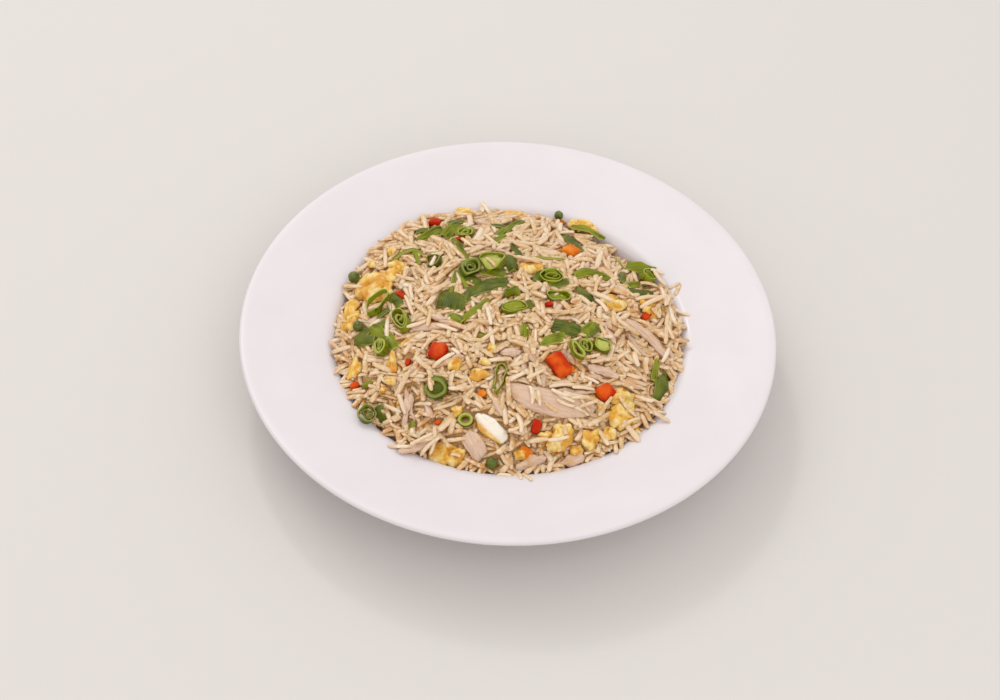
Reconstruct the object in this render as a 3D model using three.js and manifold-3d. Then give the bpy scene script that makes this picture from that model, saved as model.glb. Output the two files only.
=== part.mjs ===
// A plate of egg fried rice: a white wide-rimmed plate, a heap of long-grain rice in its well, and
// the egg, chicken, pepper, peas and sliced scallions that lie on the rice.
// Millimetres, +Z up. The origin is on the plate's axis, at the level that the plate stands on.

import * as THREE from 'three';
import { mergeVertices } from 'three/addons/utils/BufferGeometryUtils.js';
import Module from 'manifold-3d';

const wasm = await Module();
wasm.setup();

// Driving dimensions of the plate
const PLATE_RADIUS = 150;
const PLATE_HEIGHT = 42;
const CHINA = 4;
const LIP_RADIUS = 1.8;
const WELL_RADIUS = 99;
const RIM_DROP = 7.4;
const SHOULDER_BEND = { inset: 2.4, drop: 3.5, run: 4, rise: 0.6 };
const WALL_FOOT_RADIUS = 90;
const FLOOR_RADIUS = 62;
const FLOOR_HEIGHT = 9;
const FOOT_RADIUS = 60;
const FOOT_WIDTH = 5;
const FOOT_RECESS = 3;
const FOOT_SLOPE = 1.2;
const PLATE_SIDES = 64;

// Driving dimensions of the heap, up to the level that the grains and toppings lie on
const HEAP_RADIUS = 95;
const HEAP_EDGE_HEIGHT = 29;
const HEAP_TOP = 55;
const HEAP_FULLNESS = 2.6;
const CORE_STEP = 9;
const CORE_BUMP = 1.1;
const CORE_SIDE_SHARES = [0.995, 0.9, 0.76, 0.62];
const CORE_SIDE_THINNING = 0.6;
const SLOPE_STEP = 4;

// Low swells of the heap's skin: height, reach along x and y, and where they start
const BROAD_SWELL = { height: 1.3, alongX: 15, alongY: 18, fromX: 0.7, fromY: -0.5 };
const NARROW_SWELL = { height: 0.9, alongX: 8.5, alongY: -11, from: 1.9 };

// Where the heap's edge stands further out or in, and higher or lower: direction and spread in degrees
const HEAP_LOBES = [
  { at: 47, spread: 22, out: -5, up: -1 },
  { at: 92, spread: 18, out: 0.5, up: 2 },
  { at: 128, spread: 30, out: 2.5, up: 8 },
  { at: 12, spread: 18, out: 2, up: 4 },
  { at: 172, spread: 14, out: -1.5, up: 0 },
  { at: 199, spread: 20, out: 1, up: 3 },
  { at: 305, spread: 16, out: 1.5, up: 2 },
  { at: 335, spread: 22, out: 1.5, up: 1 },
];

// Driving dimensions of a cooked grain
const GRAIN_LENGTH = 11;
const GRAIN_WIDTH = 2.4;
const GRAIN_SIDES = 4;
const GRAIN_COUNT = 275;
const GRAIN_BEND = 35;
const GRAIN_PITCH = 16;
const GRAIN_RISE = 0.3;
const GRAIN_SCATTER = 1.5;
const GRAIN_CUTS = [1, 0.75, 0.55];

// Where a ring's rim draws in, and how far its corners swell out
const RING_DRAFT = 0.94;
const RING_CORNER = 0.2;

// Where a die of pepper is chamfered, in degrees either side of its corners, and how far it bows
const DIE_CHAMFER = 7;
const DIE_BOW = 0.12;
const DIE_DRAFT = 0.92;

// Space that is kept between two pieces, and the steps in which a piece is raised to keep it
const GAP = 0.3;
const SETTLE_STEP = 0.25;
const TOUCH_VOLUME = 1e-6;
const WELD_DISTANCE = 1e-4;
const FLAT_WITHIN = 0.1;

const degrees = THREE.MathUtils.degToRad;

// A seeded random number from 0 to 1, the same on every run
let seed = 20;
function random() {
  seed = (seed * 16807) % 2147483647;
  return seed / 2147483647;
}

function spread(amount) {
  return (random() * 2 - 1) * amount;
}

// Plate

function plateTopProfile() {
  const shoulder = PLATE_HEIGHT - RIM_DROP;
  const floorEdge = new THREE.Vector2(FLOOR_RADIUS, FLOOR_HEIGHT);
  const wallFoot = new THREE.Vector2(WALL_FOOT_RADIUS, FLOOR_HEIGHT);
  const wallTop = new THREE.Vector2(WELL_RADIUS - SHOULDER_BEND.inset, shoulder - SHOULDER_BEND.drop);
  const rimStart = new THREE.Vector2(WELL_RADIUS + SHOULDER_BEND.run, shoulder + SHOULDER_BEND.rise);
  const corner = new THREE.Vector2(WELL_RADIUS, shoulder);
  const wall = new THREE.QuadraticBezierCurve(floorEdge, wallFoot, wallTop);
  const bend = new THREE.QuadraticBezierCurve(wallTop, corner, rimStart);
  const lipTop = new THREE.Vector2(PLATE_RADIUS - LIP_RADIUS, PLATE_HEIGHT);
  return [new THREE.Vector2(0, FLOOR_HEIGHT), ...wall.getPoints(4), ...bend.getPoints(2).slice(1), lipTop];
}

function plateProfile() {
  const top = plateTopProfile();
  const onWallOrRim = (point) => point.x > (FLOOR_RADIUS + WELL_RADIUS) / 2;
  const below = offsetBelow(top, CHINA).filter((point, i) => i % 2 === 1 && onWallOrRim(point));
  const lipMiddle = new THREE.Vector2(PLATE_RADIUS - LIP_RADIUS, PLATE_HEIGHT - LIP_RADIUS);
  const lip = [-60, 0].map((turn) => {
    const out = new THREE.Vector2(LIP_RADIUS, 0).rotateAround(new THREE.Vector2(), degrees(turn));
    return out.add(lipMiddle);
  });
  const foot = [
    new THREE.Vector2(0, FOOT_RECESS),
    new THREE.Vector2(FOOT_RADIUS - FOOT_WIDTH - FOOT_SLOPE, FOOT_RECESS),
    new THREE.Vector2(FOOT_RADIUS - FOOT_WIDTH, 0),
    new THREE.Vector2(FOOT_RADIUS, 0),
    new THREE.Vector2(FOOT_RADIUS + FOOT_SLOPE, FOOT_RECESS + FOOT_SLOPE),
  ];
  return [...foot, ...below.slice(0, -1), ...lip, ...top.reverse()];
}

// The points of a profile moved square to it, to the underside
function offsetBelow(points, distance) {
  return points.map((point, i) => {
    const before = points[Math.max(i - 1, 0)];
    const after = points[Math.min(i + 1, points.length - 1)];
    const along = after.clone().sub(before).normalize();
    return new THREE.Vector2(point.x + along.y * distance, point.y - along.x * distance);
  });
}

function plateGeometry() {
  const geometry = new THREE.LatheGeometry(plateProfile(), PLATE_SIDES);
  return geometry.rotateX(Math.PI / 2);
}

const WELL_PROFILE = plateTopProfile();

function plateTopHeight(radius) {
  const next = WELL_PROFILE.findIndex((point) => point.x > radius);
  const a = WELL_PROFILE[next - 1];
  const b = WELL_PROFILE[next];
  return THREE.MathUtils.mapLinear(radius, a.x, b.x, a.y, b.y);
}

// Heap of rice

function lobes(angle, key) {
  return HEAP_LOBES.reduce((sum, lobe) => {
    const away = THREE.MathUtils.euclideanModulo(angle - degrees(lobe.at) + Math.PI, 2 * Math.PI) - Math.PI;
    return sum + lobe[key] * Math.exp(-((away / degrees(lobe.spread)) ** 2));
  }, 0);
}

function heapRadius(angle) {
  return HEAP_RADIUS + lobes(angle, 'out');
}

function heapHeight(x, y) {
  const angle = Math.atan2(y, x);
  const reach = Math.min(1, Math.hypot(x, y) / heapRadius(angle));
  const edge = HEAP_EDGE_HEIGHT + lobes(angle, 'up');
  const dome = HEAP_TOP - (HEAP_TOP - edge) * reach ** HEAP_FULLNESS;
  const across = Math.sin(x / BROAD_SWELL.alongX + BROAD_SWELL.fromX);
  const broad = BROAD_SWELL.height * across * Math.cos(y / BROAD_SWELL.alongY + BROAD_SWELL.fromY);
  const phase = x / NARROW_SWELL.alongX + y / NARROW_SWELL.alongY + NARROW_SWELL.from;
  const narrow = NARROW_SWELL.height * Math.sin(phase);
  return dome + (broad + narrow) * (1 - reach ** 4);
}

// A closed ring of points round the heap, at a share of the way to its edge
function heapRing(share, count, height) {
  return Array.from({ length: count }, (_, i) => {
    const angle = (2 * Math.PI * i) / count;
    const radius = heapRadius(angle) * share;
    const x = radius * Math.cos(angle);
    const y = radius * Math.sin(angle);
    return new THREE.Vector3(x, y, height(x, y));
  });
}

// Joins an inner and an outer ring of any two counts with triangles that face up, or down
function stitch(inner, outer, faces, down) {
  let i = 0;
  let j = 0;
  while (i < inner.length || j < outer.length) {
    const a = inner[i % inner.length];
    const b = outer[j % outer.length];
    const outward = j < outer.length && (j + 1) * inner.length <= (i + 1) * outer.length;
    const c = outward ? outer[(j + 1) % outer.length] : inner[(i + 1) % inner.length];
    faces.push(...(down ? [a, c, b] : [a, b, c]));
    i += outward ? 0 : 1;
    j += outward ? 1 : 0;
  }
}

function coreGeometry() {
  const points = [];
  const faces = [];
  const keep = (ring) => ring.map((point) => points.push(point) - 1);
  const countAt = (share) => Math.max(6, Math.round((2 * Math.PI * HEAP_RADIUS * share) / CORE_STEP));
  const steps = Math.round(HEAP_RADIUS / CORE_STEP);
  const bumpy = (x, y) => heapHeight(x, y) + spread(CORE_BUMP);
  const lining = (x, y) => plateTopHeight(Math.hypot(x, y) + GAP) + GAP;

  const top = points.push(new THREE.Vector3(0, 0, heapHeight(0, 0))) - 1;
  let inner = keep(heapRing(1 / steps, countAt(1 / steps), bumpy));
  inner.forEach((a, i) => faces.push(top, a, inner[(i + 1) % inner.length]));
  for (let step = 2; step <= steps; step += 1) {
    const share = step / steps;
    const outer = keep(heapRing(share, countAt(share), bumpy));
    stitch(inner, outer, faces, false);
    inner = outer;
  }

  let outer = inner;
  CORE_SIDE_SHARES.forEach((share, row) => {
    const count = row === 0 ? outer.length : Math.round(outer.length * CORE_SIDE_THINNING);
    const next = keep(heapRing(share, count, lining));
    stitch(next, outer, faces, true);
    outer = next;
  });
  const bottom = points.push(new THREE.Vector3(0, 0, FLOOR_HEIGHT + GAP)) - 1;
  outer.forEach((a, i) => faces.push(bottom, outer[(i + 1) % outer.length], a));
  return geometryOf(points, faces);
}

// Shared ways of making a solid

function geometryOf(points, faces) {
  const geometry = new THREE.BufferGeometry().setFromPoints(points);
  geometry.setIndex(faces);
  return geometry;
}

// A closed solid through a row of sections. Each is a loop of points, or one point where it ends in a tip.
function loft(sections) {
  const points = sections.flat();
  const faces = [];
  let start = 0;
  const loops = sections.map((section) => {
    start += section.length;
    return section.map((_, i) => start - section.length + i);
  });
  loops.slice(1).forEach((far, s) => {
    const near = loops[s];
    const sides = Math.max(near.length, far.length);
    for (let i = 0; i < sides; i += 1) {
      const a = near[i % near.length];
      const b = near[(i + 1) % near.length];
      const c = far[i % far.length];
      const d = far[(i + 1) % far.length];
      if (a !== b) faces.push(a, b, d);
      if (c !== d) faces.push(a, d, c);
    }
  });
  closeEnd(loops[loops.length - 1], faces);
  closeEnd([...loops[0]].reverse(), faces);
  return geometryOf(points, faces);
}

// Fills a loop with rungs from its first half across to its second, so that a hollowed one fills too
function closeEnd(loop, faces) {
  const count = loop.length;
  for (let i = 0; 2 * i + 2 < count; i += 1) {
    const [a, b, c, d] = [i, i + 1, count - 2 - i, count - 1 - i].map((k) => loop[k]);
    if (b !== c) faces.push(a, b, c);
    faces.push(a, c, d);
  }
}

// The place and heading at a share of the way along a level path that turns evenly
function pathAt(share, length, turn) {
  const angle = degrees(turn) * (share - 0.5);
  if (Math.abs(turn) < 1) return { x: length * (share - 0.5), y: 0, angle };
  const radius = length / degrees(turn);
  return { x: radius * Math.sin(angle), y: radius * (1 - Math.cos(angle)), angle };
}

// A section's points, given across and up, set square to a path
function sectionAt(place, across, outline) {
  const roll = degrees(across.roll ?? 0);
  return outline.map(([side, up]) => {
    const level = side * Math.cos(roll) - up * Math.sin(roll);
    const height = side * Math.sin(roll) + up * Math.cos(roll);
    const x = place.x - level * Math.sin(place.angle);
    const y = place.y + level * Math.cos(place.angle);
    return new THREE.Vector3(x, y, height + across.lift);
  });
}

// A grain: a thin spindle that bends a little
function grainGeometry(length, width, turn) {
  const stations = [0, 0.2, 0.8, 1];
  const sizes = [0, 0.9, 0.9, 0];
  return loft(stations.map((share, s) => {
    const place = pathAt(share, length, turn);
    if (sizes[s] === 0) return [new THREE.Vector3(place.x, place.y, 0)];
    const outline = Array.from({ length: GRAIN_SIDES }, (_, i) => {
      const angle = (2 * Math.PI * (i + 0.5)) / GRAIN_SIDES;
      const half = (width / 2) * sizes[s] * 1.15;
      return [half * Math.cos(angle), half * Math.sin(angle)];
    });
    return sectionAt(place, { lift: 0 }, outline);
  }));
}

// A slice along a scallion leaf: thin, hollowed across its width, arched and turned along its length
function leafGeometry(leaf) {
  const { length, width, curl = 1, arch = 1, turn = 0, roll = 0, taper = 0.3, thickness = 0.9 } = leaf;
  const spans = Math.abs(turn) > 90 ? 6 : 4;
  return loft(Array.from({ length: spans + 1 }, (_, s) => {
    const share = s / spans;
    const fromMiddle = Math.abs(2 * share - 1);
    const half = (width / 2) * (1 - taper * fromMiddle ** 3);
    const lift = arch * (1 - fromMiddle ** 2);
    const outline = [
      [-half, -curl],
      [0, 0],
      [half, -curl],
      [half, thickness - curl],
      [0, thickness],
      [-half, thickness - curl],
    ];
    return sectionAt(pathAt(share, length, turn), { lift, roll }, outline);
  }));
}

// A slice across a scallion: an open ring of an oval or cornered outline, cut a little on the slant
function ringGeometry({ length, width, height = 4, wall = 1.1, corners = 0, slant = 0.1, sides = 10 }) {
  const points = [];
  const faces = [];
  for (let i = 0; i < sides; i += 1) {
    const angle = (2 * Math.PI * i) / sides;
    const swell = corners > 0 ? 1 + RING_CORNER * Math.cos(corners * angle) : 1;
    const out = new THREE.Vector2((length / 2) * Math.cos(angle), (width / 2) * Math.sin(angle));
    out.multiplyScalar(swell);
    const inside = out.clone().multiplyScalar(1 - wall / out.length());
    const rise = out.x * slant;
    points.push(
      new THREE.Vector3(out.x, out.y, rise - height / 2),
      new THREE.Vector3(out.x * RING_DRAFT, out.y * RING_DRAFT, rise + height / 2),
      new THREE.Vector3(inside.x * RING_DRAFT, inside.y * RING_DRAFT, rise + height / 2),
      new THREE.Vector3(inside.x, inside.y, rise - height / 2),
    );
    for (let k = 0; k < 4; k += 1) {
      const a = 4 * i + k;
      const b = 4 * i + ((k + 1) % 4);
      const c = (4 * (i + 1) + k) % (4 * sides);
      const d = (4 * (i + 1) + ((k + 1) % 4)) % (4 * sides);
      faces.push(a, c, d, a, d, b);
    }
  }
  return geometryOf(points, faces);
}

// A soft curd of egg: a low cushion of uneven outline, flat below, folded on top
function curdGeometry({ length, width, thickness, sides = 12 }) {
  const lumps = Array.from({ length: sides }, () => 1 + spread(0.16));
  const ring = (share, height, rough) => lumps.map((lump, i) => {
    const angle = (2 * Math.PI * i) / sides;
    const x = (length / 2) * Math.cos(angle) * lump * share;
    const y = (width / 2) * Math.sin(angle) * lump * share;
    return new THREE.Vector3(x, y, height + spread(rough));
  });
  return loft([
    [new THREE.Vector3(0, 0, 0)],
    ring(0.72, 0, 0),
    ring(1, thickness * 0.4, 0.3),
    ring(0.62, thickness * 0.92, thickness * 0.22),
    [new THREE.Vector3(0, 0, thickness * 0.8)],
  ]);
}

// A torn strip of chicken: flat below, ridged on top, thinner to its ends
function meatGeometry({ length, width, thickness, turn = 0, taper = 0.6, spans = 6 }) {
  return loft(Array.from({ length: spans + 1 }, (_, s) => {
    const share = s / spans;
    const fromMiddle = Math.abs(2 * share - 1);
    const half = (width / 2) * (1 - taper * fromMiddle ** 2) * (1 + spread(0.1));
    const high = thickness * (1 - 0.5 * fromMiddle ** 2) * (1 + spread(0.12));
    const outline = [
      [-half * 0.7, 0],
      [half * 0.7, 0],
      [half, high * 0.45],
      [half * 0.55, high],
      [0, high * 0.82],
      [-half * 0.5, high * 0.95],
      [-half, high * 0.4],
    ];
    return sectionAt(pathAt(share, length, turn), { lift: 0 }, outline);
  }));
}

// A piece of diced pepper: a thick bowed square, cut by hand, with small chamfers at its corners
function diceGeometry({ length, width, height }) {
  const corners = [45, 135, 225, 315].flatMap((corner) => [corner - DIE_CHAMFER, corner + DIE_CHAMFER]);
  return loft([-0.5, 0, 0.5].map((layer) => corners.map((corner) => {
    const angle = degrees(corner);
    const pull = layer === 0 ? 1 : DIE_DRAFT;
    const toSide = pull / Math.max(Math.abs(Math.cos(angle)), Math.abs(Math.sin(angle)));
    const x = (length / 2) * Math.cos(angle) * toSide;
    const y = (width / 2) * Math.sin(angle) * toSide;
    const bow = DIE_BOW * length * (1 - (2 * x / length) ** 2);
    return new THREE.Vector3(x + spread(0.4), y + spread(0.4), layer * height + bow);
  })));
}

// Every topping, with its place on the heap seen from above and its heading in degrees

const EGG_PIECES = [
  { name: 'egg_sheet_left', x: -77, y: 26, yaw: -68, length: 32, width: 21, thickness: 4 },
  { name: 'egg_back_left', x: -28, y: 91, yaw: -24, length: 15, width: 10, thickness: 3.5 },
  { name: 'egg_slab_back_right', x: 41, y: 86, yaw: -7, length: 20, width: 10, thickness: 3 },
  { name: 'egg_centre_back', x: 11, y: 33, yaw: 13, length: 15, width: 11, thickness: 3.5 },
  { name: 'egg_inner_right', x: 58, y: 14, yaw: 14, length: 15, width: 13, thickness: 3 },
  { name: 'egg_right', x: 79, y: 17, yaw: -60, length: 17, width: 11, thickness: 3.5 },
  { name: 'egg_white_front', x: -7, y: -75, yaw: -38, length: 23, width: 9, thickness: 5 },
  { name: 'egg_front_left', x: -30, y: -86, yaw: -14, length: 23, width: 10, thickness: 4 },
  { name: 'egg_curl_front', x: 31, y: -77, yaw: 41, length: 19, width: 13, thickness: 4.5 },
  { name: 'egg_curl_right', x: 64, y: -60, yaw: 27, length: 18, width: 14, thickness: 4.5 },
];

const CHICKEN_PIECES = [
  { name: 'chicken_slab', x: 24, y: -60, yaw: -8, length: 50, width: 16, thickness: 5, turn: 45 },
  { name: 'chicken_strip_right', x: 78, y: -4, yaw: -36, length: 37, width: 7, thickness: 4.5, turn: -55 },
  {
    name: 'chicken_chunk_front', x: -16, y: -83, yaw: -48,
    length: 15, width: 10, thickness: 5.5, taper: 0.25,
  },
  { name: 'chicken_shred_left', x: -40, y: -12, yaw: -3, length: 28, width: 6, thickness: 3.5, turn: -45 },
  { name: 'chicken_flake_front', x: -46, y: -85, yaw: 18, length: 22, width: 7, thickness: 3.5 },
];

const PEPPER_PIECES = [
  { name: 'pepper_back_right', x: 34, y: 56, yaw: 53, length: 9, width: 8, height: 3.5 },
  { name: 'pepper_left', x: -38, y: -31, yaw: -21, length: 9, width: 9, height: 4.5 },
  { name: 'pepper_centre', x: 28, y: -37, yaw: -55, length: 14, width: 9, height: 4 },
  { name: 'pepper_right', x: 54, y: -49, yaw: 40, length: 9, width: 8, height: 4 },
];

const PEAS = [
  { name: 'pea_left_back', x: -89, y: 36, diameter: 7.5 },
  { name: 'pea_back', x: 27, y: 94, diameter: 6 },
  { name: 'pea_left', x: -84, y: -3, diameter: 6.5 },
  { name: 'pea_front', x: -6, y: -92, diameter: 7 },
];

const SCALLION_LEAVES = [
  { name: 'scallion_curl_back_left', x: -48, y: 66, yaw: 41, length: 17, width: 7, curl: 2.5 },
  { name: 'scallion_fold_back', x: -36, y: 68, yaw: 60, length: 16, width: 8, curl: 3 },
  { name: 'scallion_stalk_back', x: -2, y: 74, yaw: 58, length: 27, width: 5, curl: 1.5, taper: 0.1 },
  {
    name: 'scallion_hook_back_left', x: -63, y: 50, yaw: 25,
    length: 30, width: 2.6, curl: 0.2, turn: -165, roll: 80,
  },
  { name: 'scallion_strip_back_right', x: 44, y: 81, yaw: -18, length: 21, width: 5, curl: 1, arch: 1.5 },
  { name: 'scallion_leaf_back_right', x: 34, y: 70, yaw: -52, length: 15, width: 6, curl: 1 },
  { name: 'scallion_arch_right', x: 46, y: 37, yaw: 12, length: 23, width: 6, curl: 1.5, arch: 2, turn: -60 },
  { name: 'scallion_trough_right', x: 75, y: 54, yaw: -13, length: 17, width: 9, curl: 3.5, taper: 0.1 },
  { name: 'scallion_strip_right', x: 74, y: 30, yaw: 20, length: 15, width: 5, curl: 1 },
  { name: 'scallion_leaf_centre', x: -12, y: 17, yaw: 17, length: 23, width: 9, curl: 1.2, arch: 1.5 },
  { name: 'scallion_flap_centre', x: 0, y: 36, yaw: -80, length: 14, width: 7, curl: 2 },
  { name: 'scallion_square_left', x: -32, y: 7, yaw: -14, length: 15, width: 11, curl: 1.5, taper: 0.05 },
  { name: 'scallion_pale_strip', x: -19, y: 0, yaw: 48, length: 21, width: 5, curl: 1 },
  { name: 'scallion_diamond_right', x: 42, y: 18, yaw: -45, length: 13, width: 6, curl: 1, taper: 0.6 },
  { name: 'scallion_strip_left', x: -73, y: -9, yaw: 56, length: 17, width: 6, curl: 1.5 },
  { name: 'scallion_flap_right', x: 32, y: -11, yaw: -14, length: 15, width: 10, curl: 2.5, taper: 0.1 },
  { name: 'scallion_diamond_rim', x: 85, y: -34, yaw: 73, length: 22, width: 8, curl: 0.8, taper: 0.7 },
];

const SCALLION_RINGS = [
  { name: 'scallion_ring_back', x: -26, y: 61, yaw: -24, tilt: 35, length: 10, width: 9 },
  { name: 'scallion_ring_back_left', x: -44, y: 38, yaw: -31, tilt: 15, length: 11, width: 9, height: 3 },
  { name: 'scallion_ring_right', x: 79, y: 44, yaw: 10, tilt: 15, length: 11, width: 10 },
  { name: 'scallion_ring_centre_left', x: -23, y: 29, yaw: 40, tilt: 20, length: 12, width: 10, height: 5 },
  {
    name: 'scallion_corner_centre', x: -11, y: 31, yaw: 30, tilt: 10,
    length: 14, width: 13, height: 3, corners: 3,
  },
  { name: 'scallion_pair_right', x: 23, y: 25, yaw: 5, tilt: 15, length: 16, width: 10 },
  { name: 'scallion_oval_right', x: 27, y: 12, yaw: 9, tilt: 8, length: 15, width: 8, height: 3 },
  { name: 'scallion_tube_centre', x: 1, y: 10, yaw: 90, tilt: 80, length: 5.5, width: 6, height: 9, slant: 0 },
  { name: 'scallion_oval_centre', x: 2, y: -1, yaw: 9, tilt: 6, length: 16, width: 8, height: 3.5 },
  { name: 'scallion_loop_left', x: -74, y: 10, yaw: 43, tilt: 10, length: 19, width: 11, height: 3.5 },
  { name: 'scallion_oval_left', x: -60, y: -6, yaw: -63, tilt: 12, length: 20, width: 10 },
  {
    name: 'scallion_spiral_left', x: -70, y: -24, yaw: -6, tilt: 8,
    length: 11, width: 10, height: 4.5, wall: 1.8,
  },
  { name: 'scallion_ring_pair_left', x: 42, y: -23, yaw: 14, tilt: 15, length: 10, width: 9 },
  { name: 'scallion_ring_pair_right', x: 52, y: -20, yaw: -17, tilt: 15, length: 12, width: 10 },
  { name: 'scallion_slim_oval', x: 38, y: -29, yaw: -54, tilt: 5, length: 13, width: 6, height: 2.5 },
  { name: 'scallion_long_oval', x: -4, y: -47, yaw: -99, tilt: 5, length: 23, width: 7, height: 3 },
  { name: 'scallion_ring_rim_left', x: -75, y: -65, yaw: 10, tilt: 15, length: 11, width: 11 },
  { name: 'scallion_dark_ring', x: -38, y: -54, yaw: -5, tilt: 20, length: 12, width: 11 },
];

// Colour and gloss of each food, and of the plate
const LOOKS = {
  plate: { color: 0xece7e6, roughness: 0.15 },
  rice: { color: 0xe2cfb4, roughness: 0.5 },
  egg: { color: 0xe8bd4a, roughness: 0.5 },
  chicken: { color: 0xe3cbb2, roughness: 0.5 },
  pepper: { color: 0xd8401a, roughness: 0.35 },
  pea: { color: 0x5a6216, roughness: 0.4 },
  scallion: { color: 0x6e761e, roughness: 0.35 },
};

function namedMesh(name, geometry, kind) {
  const mesh = new THREE.Mesh(geometry, new THREE.MeshStandardMaterial({ ...LOOKS[kind], metalness: 0 }));
  mesh.name = name;
  return mesh;
}

// Placing and fitting

// The mesh, where it stands, as a solid that can be joined and compared
function solidOf(mesh) {
  mesh.updateMatrixWorld();
  const plain = mesh.geometry.clone().applyMatrix4(mesh.matrixWorld);
  plain.deleteAttribute('normal');
  plain.deleteAttribute('uv');
  const merged = mergeVertices(plain, WELD_DISTANCE);
  const triVerts = Uint32Array.from(merged.index.array);
  const whole = new wasm.Mesh({ numProp: 3, vertProperties: merged.attributes.position.array, triVerts });
  return new wasm.Manifold(whole);
}

function boxOf(mesh) {
  mesh.updateMatrixWorld();
  return new THREE.Box3().setFromObject(mesh, true);
}

const placed = [];

function crosses(mesh) {
  const box = boxOf(mesh);
  const near = placed.filter((other) => other.box.intersectsBox(box));
  if (near.length === 0) return false;
  const solid = solidOf(mesh);
  return near.some((other) => other.solid.intersect(solid).volume() > TOUCH_VOLUME);
}

// Raises a piece until it is clear of all that is placed before it
function settle(mesh) {
  do {
    while (crosses(mesh)) mesh.position.z += SETTLE_STEP;
    mesh.position.z += GAP;
  } while (crosses(mesh));
  placed.push({ solid: solidOf(mesh), box: boxOf(mesh) });
  return mesh;
}

function heapNormal(x, y) {
  const slopeX = (heapHeight(x + SLOPE_STEP, y) - heapHeight(x - SLOPE_STEP, y)) / (2 * SLOPE_STEP);
  const slopeY = (heapHeight(x, y + SLOPE_STEP) - heapHeight(x, y - SLOPE_STEP)) / (2 * SLOPE_STEP);
  return new THREE.Vector3(-slopeX, -slopeY, 1).normalize();
}

// Lays a stiff piece on the heap, level with its slope
function layOn(mesh, { x, y, yaw = 0, tilt = 0 }) {
  const up = new THREE.Vector3(0, 0, 1);
  const slope = new THREE.Quaternion().setFromUnitVectors(up, heapNormal(x, y));
  const heading = new THREE.Quaternion().setFromEuler(new THREE.Euler(degrees(tilt), 0, degrees(yaw), 'ZYX'));
  mesh.quaternion.copy(slope.multiply(heading));
  mesh.position.set(x, y, heapHeight(x, y) - 1);
  return settle(mesh);
}

// Bends a soft piece with a flat underside down onto the heap
function drape(mesh, { x, y, yaw }) {
  mesh.geometry.rotateZ(degrees(yaw));
  const points = mesh.geometry.attributes.position;
  for (let i = 0; i < points.count; i += 1) {
    points.setZ(i, points.getZ(i) + heapHeight(x + points.getX(i), y + points.getY(i)));
  }
  mesh.position.set(x, y, 0);
  return settle(mesh);
}

// Grains

// A grain that lies on the heap's skin, half sunk in it
function grainOn(x, y, length, yaw, pitch) {
  const mesh = new THREE.Mesh(grainGeometry(length, GRAIN_WIDTH, spread(GRAIN_BEND)));
  const up = new THREE.Vector3(0, 0, 1);
  const slope = new THREE.Quaternion().setFromUnitVectors(up, heapNormal(x, y));
  const heading = new THREE.Quaternion().setFromEuler(new THREE.Euler(0, pitch, yaw, 'ZYX'));
  mesh.quaternion.copy(slope.multiply(heading));
  mesh.position.set(x, y, heapHeight(x, y) + GRAIN_WIDTH * GRAIN_RISE);
  return mesh;
}

// Tries a grain at full length, then shorter ones, and gives the first that is clear of the toppings
function fittedGrain(x, y) {
  const yaw = random() * Math.PI;
  const pitch = spread(degrees(GRAIN_PITCH));
  const full = GRAIN_LENGTH * (0.85 + 0.3 * random());
  for (const cut of GRAIN_CUTS) {
    const grain = grainOn(x, y, full * cut, yaw, pitch);
    grain.scale.setScalar(1 + (2 * GAP) / GRAIN_WIDTH);
    if (!crosses(grain)) {
      grain.scale.setScalar(1);
      return grain;
    }
  }
  return null;
}

function largestBody(solid) {
  return solid.decompose().reduce((best, body) => (body.volume() > best.volume() ? body : best));
}

// The core with the grains fused on, spread evenly outwards by the golden angle
function riceGeometry(core) {
  const grains = [];
  const goldenAngle = Math.PI * (3 - Math.sqrt(5));
  for (let i = 0; i < GRAIN_COUNT; i += 1) {
    const angle = i * goldenAngle;
    const radius = (heapRadius(angle) - 1) * Math.sqrt((i + 0.5) / GRAIN_COUNT);
    const x = radius * Math.cos(angle) + spread(GRAIN_SCATTER);
    const grain = fittedGrain(x, radius * Math.sin(angle) + spread(GRAIN_SCATTER));
    if (grain) grains.push(solidOf(grain));
  }
  const joined = largestBody(wasm.Manifold.union([core, ...grains]).simplify(FLAT_WITHIN));
  const { vertProperties, triVerts } = joined.getMesh();
  const geometry = new THREE.BufferGeometry();
  geometry.setAttribute('position', new THREE.BufferAttribute(vertProperties, 3));
  geometry.setIndex(new THREE.BufferAttribute(triVerts, 1));
  return geometry;
}

// The whole dish

const plate = namedMesh('plate', plateGeometry(), 'plate');
placed.push({ solid: solidOf(plate), box: boxOf(plate) });

const bareCore = new THREE.Mesh(coreGeometry());
const coreSolid = solidOf(bareCore);
placed.push({ solid: coreSolid, box: boxOf(bareCore) });

const group = new THREE.Group();
group.add(plate);
EGG_PIECES.forEach((piece) => group.add(drape(namedMesh(piece.name, curdGeometry(piece), 'egg'), piece)));
CHICKEN_PIECES.forEach((meat) => group.add(drape(namedMesh(meat.name, meatGeometry(meat), 'chicken'), meat)));
PEPPER_PIECES.forEach((die) => group.add(layOn(namedMesh(die.name, diceGeometry(die), 'pepper'), die)));
PEAS.forEach((pea) => {
  const round = new THREE.IcosahedronGeometry(pea.diameter / 2, 1);
  group.add(layOn(namedMesh(pea.name, round, 'pea'), pea));
});
SCALLION_LEAVES.forEach((leaf) => {
  group.add(layOn(namedMesh(leaf.name, leafGeometry(leaf), 'scallion'), leaf));
});
SCALLION_RINGS.forEach((ring) => {
  group.add(layOn(namedMesh(ring.name, ringGeometry(ring), 'scallion'), ring));
});

placed.splice(1, 1);
group.add(namedMesh('rice', riceGeometry(coreSolid), 'rice'));

export default group;
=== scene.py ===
import math

import bmesh
import bpy
import numpy as np
from mathutils import Matrix, Vector, noise


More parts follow.
